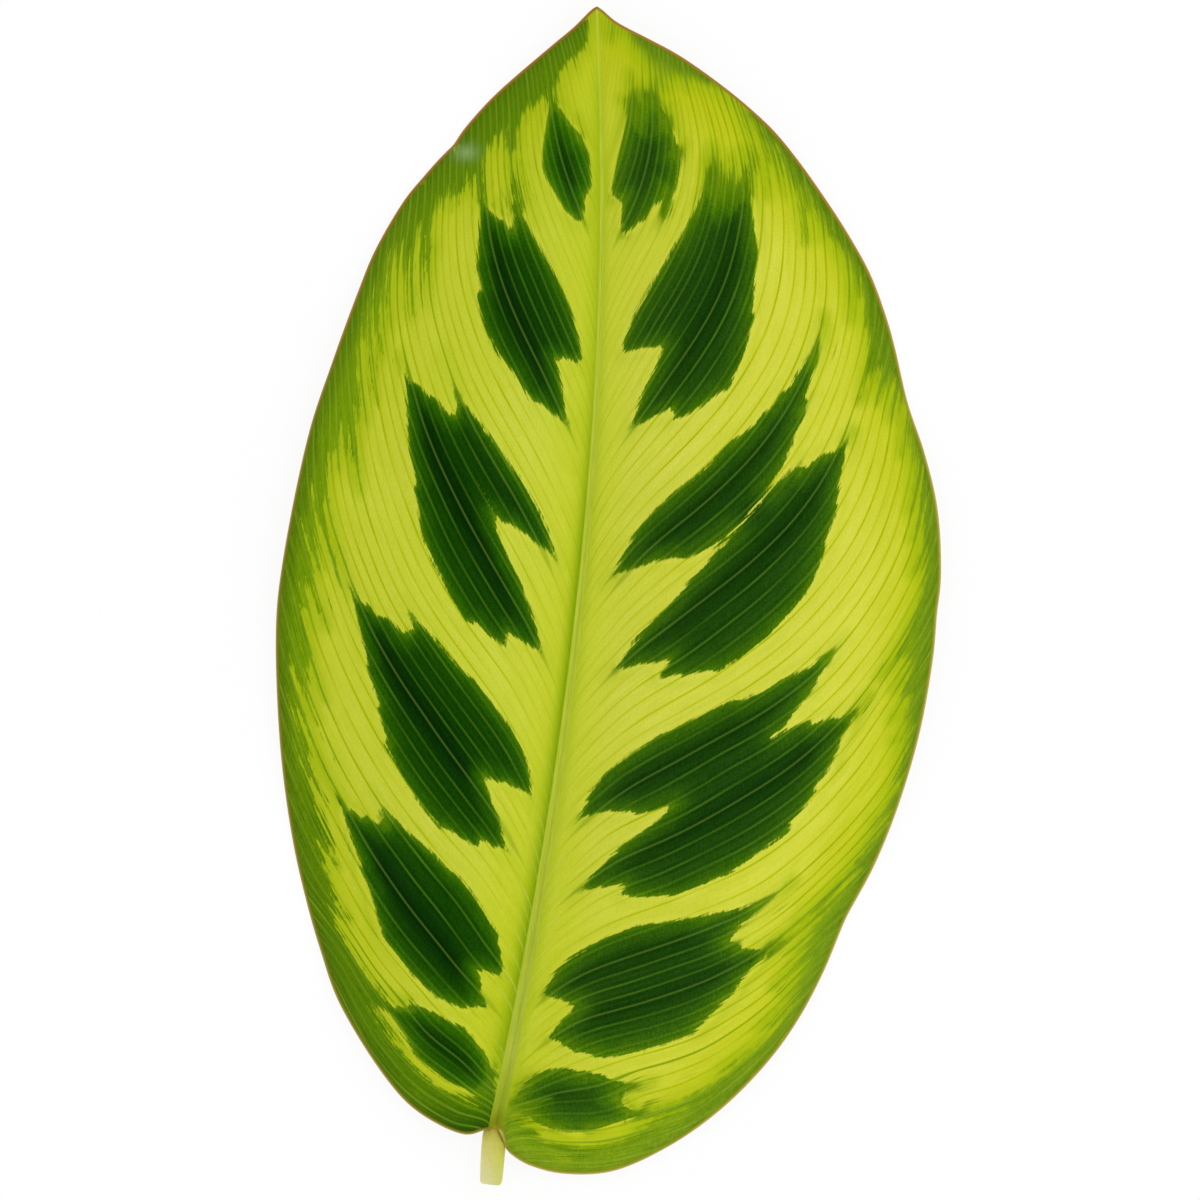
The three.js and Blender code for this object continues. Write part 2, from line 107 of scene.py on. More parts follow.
# ------------------------------------------------------------------ pattern
# Side veins that guide the rest: place of the foot along the midrib, then points out to the margin.
GUIDE_VEINS = {
    "left": [
        (9.99, [
            (-2.03, 58.66), (-2.49, 60.26), (-2.9, 61.7), (-3.37, 63.3),
        ]),
        (15.54, [
            (-1.83, 52.53), (-2.55, 54.92), (-3.18, 57.33), (-3.83, 59.92), (-4.47, 62.34),
        ]),
        (22.2, [
            (-1.72, 45.65), (-2.84, 48.61), (-3.84, 51.78), (-4.56, 54.86), (-5.19, 58.13), (-5.9, 61.24),
        ]),
        (28.86, [
            (-1.74, 38.98), (-2.94, 41.9), (-4.03, 44.7), (-5.07, 47.68), (-5.86, 50.75), (-6.38, 53.87),
            (-6.8, 56.83), (-7.34, 59.95),
        ]),
        (36.63, [
            (-1.92, 30.98), (-3.31, 34.37), (-4.59, 37.62), (-5.91, 40.86), (-7.15, 44.3), (-8.07, 47.85),
            (-8.51, 51.32), (-8.79, 54.8), (-9.22, 58.44),
        ]),
        (44.4, [
            (-2.25, 23.21), (-3.96, 27.19), (-5.69, 31.15), (-7.44, 35.29), (-9.06, 39.31), (-10.22, 43.48),
            (-10.88, 47.92), (-11.03, 52.25), (-11.33, 56.65),
        ]),
        (52.17, [
            (-2.73, 15.46), (-4.83, 20.18), (-6.98, 24.87), (-9.16, 29.36), (-11.19, 34.1), (-12.66, 39.05),
            (-13.33, 43.99), (-13.56, 49.15), (-13.68, 54.37),
        ]),
        (59.94, [
            (-3.34, 7.68), (-5.63, 13.03), (-8.23, 18.24), (-11, 23.37), (-13.54, 28.61), (-15.28, 34.16),
            (-16.13, 39.92), (-16.18, 45.75), (-16.12, 51.58),
        ]),
        (67.71, [
            (-4.1, -0.16), (-6.57, 5.84), (-9.45, 11.46), (-12.73, 17.07), (-15.66, 22.67), (-17.81, 28.79),
            (-19.09, 35.15), (-19.13, 41.47), (-18.88, 48.07),
        ]),
        (75.48, [
            (-5, -8.12), (-7.9, -1.57), (-11.3, 4.72), (-14.84, 10.94), (-18.06, 17.33), (-20.41, 23.91),
            (-22.08, 30.85), (-22.2, 38), (-21.57, 45.13),
        ]),
        (83.25, [
            (-6, -15.94), (-9.32, -9.04), (-13.59, -2.69), (-17.46, 3.72), (-20.61, 10.7), (-23.18, 17.91),
            (-24.77, 25.22), (-25.45, 32.84), (-24.78, 40.47),
        ]),
        (91.02, [
            (-7.13, -23.78), (-10.61, -16.97), (-14.82, -10.77), (-19.18, -4.68), (-23.12, 1.87),
            (-25.84, 9.02), (-27.51, 16.3), (-28.31, 23.75), (-28.58, 31.4),
        ]),
        (98.79, [
            (-8.4, -31.8), (-12.05, -25.26), (-16.49, -19.03), (-20.8, -12.9), (-24.92, -6.45),
            (-28.11, 0.32), (-30.56, 7.39), (-31.75, 14.93), (-31.76, 22.43),
        ]),
        (105.45, [
            (-9.56, -38.61), (-13.22, -32.66), (-17.68, -27.27), (-21.97, -21.75), (-25.72, -15.87),
            (-28.8, -9.78), (-31.43, -3.31), (-33.35, 3.41), (-35.03, 10.2),
        ]),
        (111.56, [
            (-10.66, -44.72), (-14.91, -39.6), (-18.86, -34.23), (-22.94, -28.97), (-26.69, -23.47),
            (-30.06, -17.54), (-32.69, -11.43), (-34.81, -5.11), (-36.35, 1.36),
        ]),
        (116, [
            (-11.5, -49.14), (-15.67, -44.39), (-19.74, -39.77), (-23.6, -34.97), (-27.05, -29.67),
            (-30.06, -24.11), (-32.85, -18.62), (-34.92, -12.83), (-36.88, -6.81),
        ]),
        (119.88, [
            (-12.2, -52.76), (-15.92, -48.51), (-19.84, -44.67), (-23.54, -40.39), (-26.73, -35.93),
            (-29.56, -31.02), (-32.22, -26.03), (-34.5, -21.03), (-36.42, -15.71),
        ]),
        (123.21, [
            (-12.58, -54.64), (-16.15, -51.4), (-19.89, -48.35), (-22.84, -44.75), (-25.88, -41),
            (-28.53, -36.97), (-31.06, -33.06), (-33.45, -28.87), (-35.41, -24.46),
        ]),
        (126.54, [
            (-12.88, -56.13), (-16.25, -54), (-19.36, -51.76), (-22.26, -49.02), (-24.56, -45.97),
            (-26.88, -42.72), (-29.06, -39.37), (-31.25, -36.23), (-33.7, -33.07),
        ]),
        (129.87, [
            (-13.16, -57.53), (-16.42, -56.28), (-19.41, -54.48), (-21.98, -52.36), (-24.3, -49.74),
            (-26.24, -46.84), (-27.99, -44.01), (-29.78, -41), (-31.87, -38.2),
        ]),
        (132.65, [
            (-13.41, -58.75), (-16.67, -58.14), (-19.62, -56.6), (-22.26, -54.58), (-24.5, -52.12),
            (-26.59, -49.32), (-28.2, -46.41), (-29.72, -43.45), (-31.02, -41.14),
        ]),
    ],
    "right": [
        (9.99, [
            (-0.05, 59.08), (0.18, 60.72), (0.39, 62.21), (0.6, 63.86),
        ]),
        (15.54, [
            (0.17, 52.59), (0.74, 55.19), (1.09, 57.83), (1.37, 60.48), (1.66, 63.13),
        ]),
        (22.2, [
            (0.28, 45.43), (1.3, 48.06), (2.12, 50.95), (2.58, 53.74), (2.73, 56.56), (2.81, 59.56),
            (3.01, 62.38),
        ]),
        (28.86, [
            (0.25, 38.67), (1.8, 41.8), (3.14, 44.85), (4.14, 48.2), (4.65, 51.49), (4.7, 54.98),
            (4.45, 58.3), (4.46, 61.79),
        ]),
        (36.63, [
            (0.07, 30.91), (1.95, 34.43), (3.79, 37.79), (5.59, 41.36), (6.85, 44.97), (7.47, 48.91),
            (7.38, 52.9), (6.8, 56.69), (6.36, 60.65),
        ]),
        (44.4, [
            (-0.26, 23.08), (2.14, 27.27), (4.61, 31.61), (7.05, 35.77), (9.15, 40.3), (10.41, 44.96),
            (10.63, 49.76), (9.69, 54.66), (8.61, 59.37),
        ]),
        (52.17, [
            (-0.75, 15.18), (2.47, 20.03), (5.65, 24.91), (8.89, 29.76), (11.64, 34.89), (13.34, 40.28),
            (14.08, 46.05), (13.24, 51.79), (11.5, 57.35),
        ]),
        (59.94, [
            (-1.37, 7.38), (2.48, 12.8), (6.87, 17.58), (11.1, 22.49), (14.66, 28.12), (17.02, 34.33),
            (17.93, 40.74), (17.54, 47.21), (15.63, 53.59),
        ]),
        (67.71, [
            (-2.13, -0.46), (2.31, 5.36), (7.51, 10.26), (12.74, 15.15), (17.38, 20.81), (20.86, 27.22),
            (22.55, 34.17), (22.39, 41.31), (20.91, 48.47),
        ]),
        (75.48, [
            (-3.03, -8.37), (1.85, -2.69), (7.46, 2.27), (13.37, 6.87), (18.7, 12.12), (22.98, 18.45),
            (25.83, 25.37), (27.18, 32.71), (26.55, 40.16),
        ]),
        (83.25, [
            (-4.04, -16.18), (1.12, -10.76), (7.36, -6.33), (13.33, -1.81), (19.12, 3.2), (23.96, 8.9),
            (27.38, 15.54), (29.54, 22.88), (31.14, 30.2),
        ]),
        (91.02, [
            (-5.15, -23.9), (0.41, -18.42), (7.03, -14.26), (13.83, -10.38), (20.15, -5.8), (25.57, 0.04),
            (29.67, 6.71), (32.06, 14.13), (33.13, 21.88),
        ]),
        (98.79, [
            (-6.41, -31.89), (-0.55, -26.49), (6.49, -22.75), (13.23, -18.77), (20.06, -14.62),
            (26.04, -9.33), (30.72, -3.09), (34.31, 4.03), (36.1, 11.81),
        ]),
        (105.45, [
            (-7.55, -38.57), (-1.61, -34.07), (5.24, -31.06), (12, -27.82), (18.46, -24.03), (24.26, -19.07),
            (29.01, -13.28), (33.17, -7.06), (36.69, -0.45),
        ]),
        (111.56, [
            (-8.65, -44.66), (-2.67, -40.47), (4.13, -37.77), (11, -35.24), (17.6, -32.11), (23.39, -27.35),
            (28.3, -21.93), (32.26, -15.78), (35.7, -9.32),
        ]),
        (116, [
            (-9.49, -49.11), (-4.48, -45.28), (1.6, -43.01), (7.6, -40.99), (13.64, -38.63), (19.03, -35.35),
            (23.8, -31.19), (28.36, -26.58), (32.29, -21.64),
        ]),
        (119.88, [
            (-10.19, -52.7), (-5.36, -49.17), (0.13, -46.88), (5.9, -45.25), (11.51, -43.16),
            (16.73, -40.23), (21.44, -36.52), (25.84, -32.45), (30.01, -28.15),
        ]),
        (123.21, [
            (-10.56, -54.56), (-5.72, -51.99), (-0.68, -49.82), (4.49, -48.51), (9.68, -46.74),
            (14.53, -44.16), (18.87, -41.08), (22.98, -37.44), (27.28, -33.84),
        ]),
        (126.54, [
            (-10.85, -56), (-5.84, -54.24), (-0.89, -52.9), (3.99, -51.26), (9.07, -49.68), (13.76, -47.16),
            (17.94, -44.14), (21.71, -40.61), (25.76, -37.16),
        ]),
        (129.87, [
            (-11.15, -57.48), (-6.12, -56.44), (-1.02, -56.09), (3.74, -54.12), (8.68, -52.61),
            (13.24, -50.22), (17.3, -47.04), (20.89, -43.33), (24.67, -39.82),
        ]),
        (133.2, [
            (-10.58, -59.17), (-5.6, -59.3), (-0.65, -59.19), (4.28, -57.7), (8.96, -56.02), (13.14, -53.29),
            (17.04, -49.92), (20.3, -46.14), (23.57, -42.39),
        ]),
    ],
}

# Feet of the side veins along the midrib, from the tip, and how strongly each shows.
SIDE_VEINS = {
    "left": [
        (3.66, 0.52), (5.66, 0.4), (7.77, 0.98), (9.66, 0.81), (11.99, 0.52), (14.32, 0.57), (15.91, 0.81),
        (17.88, 0.33), (19.64, 0.99), (21.76, 0.43), (23.85, 0.75), (26.17, 0.75), (28.6, 1.1), (30.92, 0.47),
        (32.8, 0.75), (34.45, 0.55), (36.55, 1.03), (38.65, 0.38), (40.65, 0.82), (42.4, 0.52), (44.07, 0.94),
        (46.28, 0.7), (48.49, 0.86), (50.59, 0.74), (52.8, 1.08), (54.92, 0.74), (57.16, 0.64), (59.61, 0.47),
        (61.73, 1.1), (63.97, 0.55), (65.74, 0.75), (67.65, 0.75), (69.55, 1.09), (71.87, 0.7), (74.1, 0.64),
        (76.32, 0.91), (78.2, 1.09), (80.25, 0.91), (82.11, 0.72), (83.84, 0.62), (85.9, 1.03), (87.53, 0.43),
        (89.05, 0.7), (90.57, 0.5), (92.09, 1.06), (93.83, 0.72), (95.45, 0.84), (96.87, 0.77), (98.6, 0.87),
        (100.55, 0.84), (101.91, 0.74), (103.39, 0.75), (105.11, 0.87), (107.39, 0.74), (109.68, 1.09),
        (111.95, 1.04), (114.35, 1.01), (116.88, 0.86), (118.31, 0.57), (120.01, 0.77), (121.93, 0.86),
        (123.5, 0.94), (124.73, 0.58), (126.36, 1.04), (127.8, 0.6), (129.75, 0.75), (131.31, 0.53),
        (133.31, 0.81), (135.2, 0.67),
    ],
    "right": [
        (3.77, 0.58), (5.66, 0.69), (7.44, 0.79), (9.55, 1.01), (10.88, 0.72), (12.76, 0.6), (14.76, 0.72),
        (16.68, 0.4), (18.6, 0.38), (20.62, 0.82), (22.08, 0.96), (23.81, 0.53), (26, 0.94), (27.51, 0.38),
        (29.35, 0.98), (31.71, 0.72), (33.73, 0.86), (35.63, 0.53), (37.44, 0.91), (39.11, 0.57), (41.03, 0.36),
        (43.05, 0.92), (44.83, 0.45), (46.64, 0.7), (47.86, 0.84), (49.88, 0.53), (51.9, 0.87), (54.03, 0.92),
        (56.23, 1.01), (58.31, 0.86), (60.29, 0.69), (62.48, 1.08), (64.68, 0.72), (66.54, 0.75), (68.3, 1.01),
        (70.27, 1.04), (72.58, 0.89), (74.67, 0.75), (75.98, 0.55), (78.07, 0.79), (80.16, 1.1), (82.28, 0.86),
        (84.29, 0.92), (86.3, 0.79), (88.43, 0.98), (90.1, 0.6), (91.67, 0.89), (93.56, 0.74), (95.35, 0.99),
        (97.19, 0.96), (99.16, 0.91), (100.9, 0.81), (102.42, 0.99), (103.89, 0.87), (105.35, 0.81),
        (106.69, 0.72), (108.61, 0.87), (110.85, 0.7), (113.1, 1.08), (114.6, 0.79), (116, 0.96), (117.4, 0.79),
        (118.9, 1.01), (120.7, 0.82), (122.38, 0.87), (124.05, 0.74), (125.85, 0.92), (127.9, 0.5),
        (129.44, 0.64), (130.99, 0.65), (133.15, 1.04), (134.69, 1.1),
    ],
}

# Outlines of the dark blotches.
BLOTCHES = [
    [
        (-6.04, 53.88), (-6.44, 52.94), (-6.95, 50.17), (-7.11, 48.61), (-7, 47.5), (-6.71, 46.47),
        (-5.26, 43.78), (-4.49, 42.87), (-3.26, 42.05), (-2.93, 43.05), (-2.78, 44.73), (-2.03, 45.62),
        (-2.37, 48.95), (-2.96, 49.95), (-3.49, 50.38), (-4.01, 51.5), (-5.26, 52.94), (-5.6, 53.66),
    ],
    [
        (4.84, 53.75), (3.73, 52.61), (3.28, 51.84), (2.95, 51.9), (2.79, 52.5), (2.62, 52.53),
        (0.89, 47.06), (0.73, 44.95), (0.95, 44.66), (1.62, 44.58), (1.87, 44.29), (1.77, 41.73),
        (1.95, 40.79), (2.4, 40.92), (3.95, 42.23), (5.42, 44.06), (6.28, 45.44), (6.61, 45.51),
        (6.95, 44.64), (7.45, 46.06), (7.62, 47.5), (7.07, 48.84), (7, 50.5), (6.73, 50.97), (5.84, 51.65),
        (5.3, 53.61),
    ],
    [
        (10.94, 44.12), (7.97, 38.74), (7.17, 37.89), (5.76, 35.41), (4.51, 33.61), (2.86, 30.52),
        (2.05, 28.41), (1.98, 27.52), (2.17, 27.3), (2.95, 27.68), (4.17, 27.83), (4.95, 27.74),
        (5.73, 28.07), (6.19, 27.97), (6.35, 27.75), (6.24, 27.08), (3.42, 20.75), (3.2, 19.87),
        (3.28, 19.58), (4.28, 19.74), (7.28, 21.13), (7.59, 20.86), (7.61, 19.96), (8.57, 20.2),
        (12.16, 22.77), (13.18, 23.31), (14.27, 25.22), (14.94, 27.08), (15.72, 30.52), (15.52, 31.63),
        (16, 34.3), (16.21, 36.74), (16.08, 38.29), (15.82, 39.18), (15.89, 40.4), (15.61, 43.37),
        (15.05, 43.86), (14.38, 43.86), (13.94, 43.55), (13.5, 44.02), (12.83, 43.26), (12.16, 43.33),
        (11.61, 42.88), (11.32, 43.95),
    ],
    [
        (-13.81, 42.87), (-14.13, 41.62), (-14.23, 37.74), (-14.4, 36.63), (-13.94, 33.96), (-14.34, 32.63),
        (-13.6, 29.74), (-12.21, 27.08), (-10.33, 24.86), (-8.7, 22.2), (-8.04, 22.01), (-5.78, 20.2),
        (-5.26, 19.99), (-5.12, 21.2), (-6.09, 26.53), (-5.93, 26.67), (-4.82, 26.78), (-3.49, 26.35),
        (-3.27, 27.3), (-3.9, 30.19), (-4.68, 32.41), (-6.26, 35.78), (-9.81, 41.9), (-10.04, 41.8),
        (-10.09, 40.84), (-10.48, 39.96), (-10.7, 39.83), (-11.04, 40.07), (-11.7, 41.22), (-12.37, 41.46),
    ],
    [
        (21.82, 25.1), (21.16, 24.12), (20.97, 23.53), (20.02, 22.64), (19.49, 21.8), (18.6, 21.25),
        (18.29, 20.53), (17.44, 20.09), (16.38, 18.71), (14.27, 17.03), (13.83, 16.5), (13.16, 16.24),
        (11.55, 14.54), (5.5, 9.63), (3.84, 7.8), (2.73, 6.19), (1.29, 3.1), (1.4, 2.99), (3.17, 3.4),
        (5.62, 4.35), (6.73, 4.33), (7.61, 4.57), (8.61, 4.32), (10.58, 5.21), (13.61, 7.36), (13.94, 7.46),
        (14, 7.32), (13.75, 6.77), (10.56, 2.99), (8.61, 1.09), (6.8, -1.11), (3.51, -4.64), (2.17, -6.38),
        (1.56, -7.44), (1.62, -7.73), (3.95, -7.18), (4.95, -7.28), (6.84, -6.7), (7.08, -6.77),
        (7.11, -7.11), (6, -8.66), (6.06, -8.86), (7.61, -8.51), (8.61, -8.56), (11.39, -7.92),
        (12.39, -7.98), (14.61, -6.48), (17.16, -4.44), (20.38, -1.31), (21.27, -0.17), (23.41, 4.33),
        (23.75, 6.32), (24.9, 9.32), (24.85, 10.21), (25.95, 15.76), (25.82, 16.05), (25.48, 16.02),
        (25.04, 15.52), (24.15, 15.03), (23.6, 15.02), (20.93, 13.15), (20.64, 13.32), (20.87, 13.65),
        (20.71, 13.81), (18.16, 11.63), (17.71, 11.46), (17.34, 11.54), (17.46, 12.1), (19.05, 14.59),
        (20.18, 17.2), (20.52, 18.42), (21.07, 19.42), (20.93, 20.53), (21.39, 21.31), (21.47, 22.2),
        (22.12, 24.19), (22.04, 24.86),
    ],
    [
        (-22.25, 23.83), (-21.86, 16.2), (-21.03, 12.76), (-21.07, 12.1), (-21.38, 11.43), (-20.62, 8.65),
        (-20.43, 6.99), (-19.25, 3.71), (-16.92, -0.66), (-15.81, -2.39), (-15.14, -2.48), (-14.25, -3.02),
        (-13.37, -3.99), (-11.7, -5.02), (-11.55, -4.89), (-11.5, -3.89), (-11.26, -3.64), (-9.81, -4.67),
        (-8.11, -5.55), (-7.91, -4.55), (-8.26, -3.2), (-10.28, 2.22), (-11.44, 4.44), (-11.68, 5.44),
        (-12.71, 7.88), (-13, 9.21), (-12.92, 9.41), (-12.7, 9.37), (-11.59, 8.31), (-10.59, 8.13),
        (-7.82, 5.96), (-6.48, 5.22), (-6.41, 5.44), (-7.04, 7.44), (-7.7, 9.07), (-9.81, 12.69),
        (-10.89, 13.98), (-13.25, 17.63), (-13.72, 17.98), (-13.99, 18.64), (-15.03, 19.7), (-15.92, 20.98),
        (-16.14, 21.11), (-16.25, 21), (-16.47, 20), (-17.14, 19.46), (-17.36, 19.48), (-18.58, 20.62),
        (-19.25, 21.61), (-19.91, 21.8), (-20.91, 22.86),
    ],
    [
        (-27.8, -0.67), (-27.8, -1.45), (-26.5, -7.33), (-26.53, -8.22), (-25.06, -11.88), (-25.13, -13.45),
        (-23.9, -16.65), (-23.91, -17.59), (-22.58, -19.94), (-21.25, -22.05), (-18.92, -25.08),
        (-18.36, -25.17), (-17.36, -25.71), (-16.7, -26.4), (-16.03, -26.63), (-14.92, -27.37),
        (-14.7, -27.37), (-14.48, -26.75), (-14.14, -26.56), (-12.48, -27.51), (-11.92, -27.55),
        (-11.98, -25.87), (-14.05, -20.43), (-14.12, -19.87), (-13.99, -19.65), (-13.59, -19.58),
        (-12.48, -20.27), (-11.7, -20.2), (-10.92, -20.41), (-9.37, -21.41), (-8.81, -21.39),
        (-8.77, -20.98), (-9.44, -17.87), (-10.92, -14.86), (-15.17, -9.33), (-16.14, -8.59),
        (-18.25, -6.06), (-20.8, -3.54), (-21.12, -3.44), (-21.25, -3.94), (-22.13, -4.73), (-23.24, -4.1),
        (-24.35, -2.81), (-25.69, -2.31),
    ],
    [
        (22.93, -7.88), (14.5, -11.97), (13.17, -11.99), (9.06, -14.18), (5.36, -15.88), (2.23, -17.87),
        (0.03, -19.76), (-0.95, -20.76), (-2.27, -22.82), (-2.55, -23.54), (-2.38, -24), (-1.82, -24.02),
        (-0.38, -23.6), (0.95, -23.74), (2.51, -23.58), (3.51, -23.89), (7.39, -22.84), (7.67, -22.98),
        (6.17, -24.44), (3.26, -26.53), (0.21, -29.2), (-1.71, -31.24), (-2.18, -32.08), (-1.38, -32.11),
        (-0.05, -31.76), (2.06, -31.69), (2.39, -31.97), (2.04, -32.75), (2.17, -32.92), (7.65, -32.86),
        (8.76, -32.53), (13.27, -30.38), (16.28, -28.53), (18.5, -26.87), (19.57, -25.76), (20.13, -24.76),
        (20.93, -24.05), (22.01, -22.43), (23, -20.43), (24.04, -19.21), (24.33, -18.1), (26.37, -13.99),
        (26.37, -13.81), (25.6, -14.07), (24.04, -14.16), (22.49, -14.63), (22.09, -14.54), (21.71, -14.18),
        (18.82, -15.51), (18.31, -15.54), (18.43, -15.1), (19.16, -14.43), (21.32, -11.44), (21.57, -10.66),
        (23.2, -8.33), (23.37, -7.88),
    ],
    [
        (-28.91, -24.08), (-29.02, -24.44), (-27.24, -29.31), (-27, -30.97), (-25.94, -33.3),
        (-25.67, -34.86), (-24.88, -36.74), (-24.8, -37.52), (-24.48, -38.08), (-21.58, -41.75),
        (-18.96, -44.18), (-16.58, -45.29), (-15.47, -45.32), (-14.81, -45.08), (-14.14, -45.23),
        (-14.93, -41.07), (-14.7, -40.97), (-12.37, -41.47), (-12.01, -41.3), (-11.96, -40.96),
        (-12.11, -39.52), (-12.59, -37.63), (-13.37, -36.02), (-14.81, -33.74), (-16.64, -31.42),
        (-17.69, -30.73), (-19.36, -28.84), (-20.14, -28.38), (-21.34, -27.2), (-24.02, -25.05),
        (-24.22, -25.09), (-23.99, -25.53), (-24.09, -25.87), (-24.91, -26.17), (-26.24, -25.2),
        (-27.35, -25.09),
    ],
    [
        (14.5, -34.85), (13.05, -35.35), (12.39, -35.34), (10.72, -35.98), (8.28, -35.93), (2.95, -36.87),
        (-0.38, -38.07), (-3.58, -39.96), (-5.14, -41.41), (-6.44, -43.4), (-6.15, -44.04), (-4.26, -44.8),
        (-3.48, -44.85), (-3.26, -45.07), (-3.24, -45.4), (-4.44, -46.85), (-5.14, -47.4), (-5.35, -47.96),
        (-6.19, -48.73), (-5.04, -49.03), (-3.38, -50.15), (-1.38, -50.41), (-0.63, -50.73), (0.07, -50.8),
        (4.66, -49.95), (8.48, -48.51), (9.28, -47.91), (9.83, -47.1), (11.09, -46.18), (12.61, -44.43),
        (13.61, -43.76), (14.28, -42.52), (15.49, -41.41), (16.59, -40.07), (16.6, -39.74), (16.27, -39.65),
        (14.16, -39.6), (13.61, -39.01), (12.83, -38.99), (12.5, -38.63), (12.54, -38.19), (13.66, -36.97),
        (13.83, -36.36), (15.22, -35.19), (15.23, -34.97),
    ],
    [
        (-24.47, -45.59), (-24.47, -45.8), (-23.91, -46.23), (-22.37, -48.51), (-20.69, -51.3),
        (-17.92, -53.54), (-17.14, -53.93), (-15.03, -54.58), (-13.9, -54.39), (-13.43, -53.62),
        (-13.84, -51.06), (-15.47, -48.76), (-16.08, -48.18), (-18.14, -47.01), (-21.36, -45.68),
        (-21.38, -46.07), (-21.69, -46.24), (-23.69, -46.01),
    ],
    [
        (-5.48, -52.72), (-7.04, -53.21), (-8.15, -53.79), (-9.28, -55.39), (-8.93, -55.87), (-7.79, -56.5),
        (-8, -56.95), (-7.91, -57.28), (-6.73, -58.06), (-6.54, -58.39), (-3.26, -59.17), (-2.5, -58.72),
        (0.51, -58.27), (1.95, -57.58), (1.99, -57.39), (1.73, -57.12), (0.97, -56.84), (0.84, -56.07),
        (0.45, -55.84), (0.43, -55.17), (1.22, -54.5), (1.11, -54.17), (-0.38, -53.79), (-1.28, -53.28),
        (-2.15, -53.29),
    ],
]

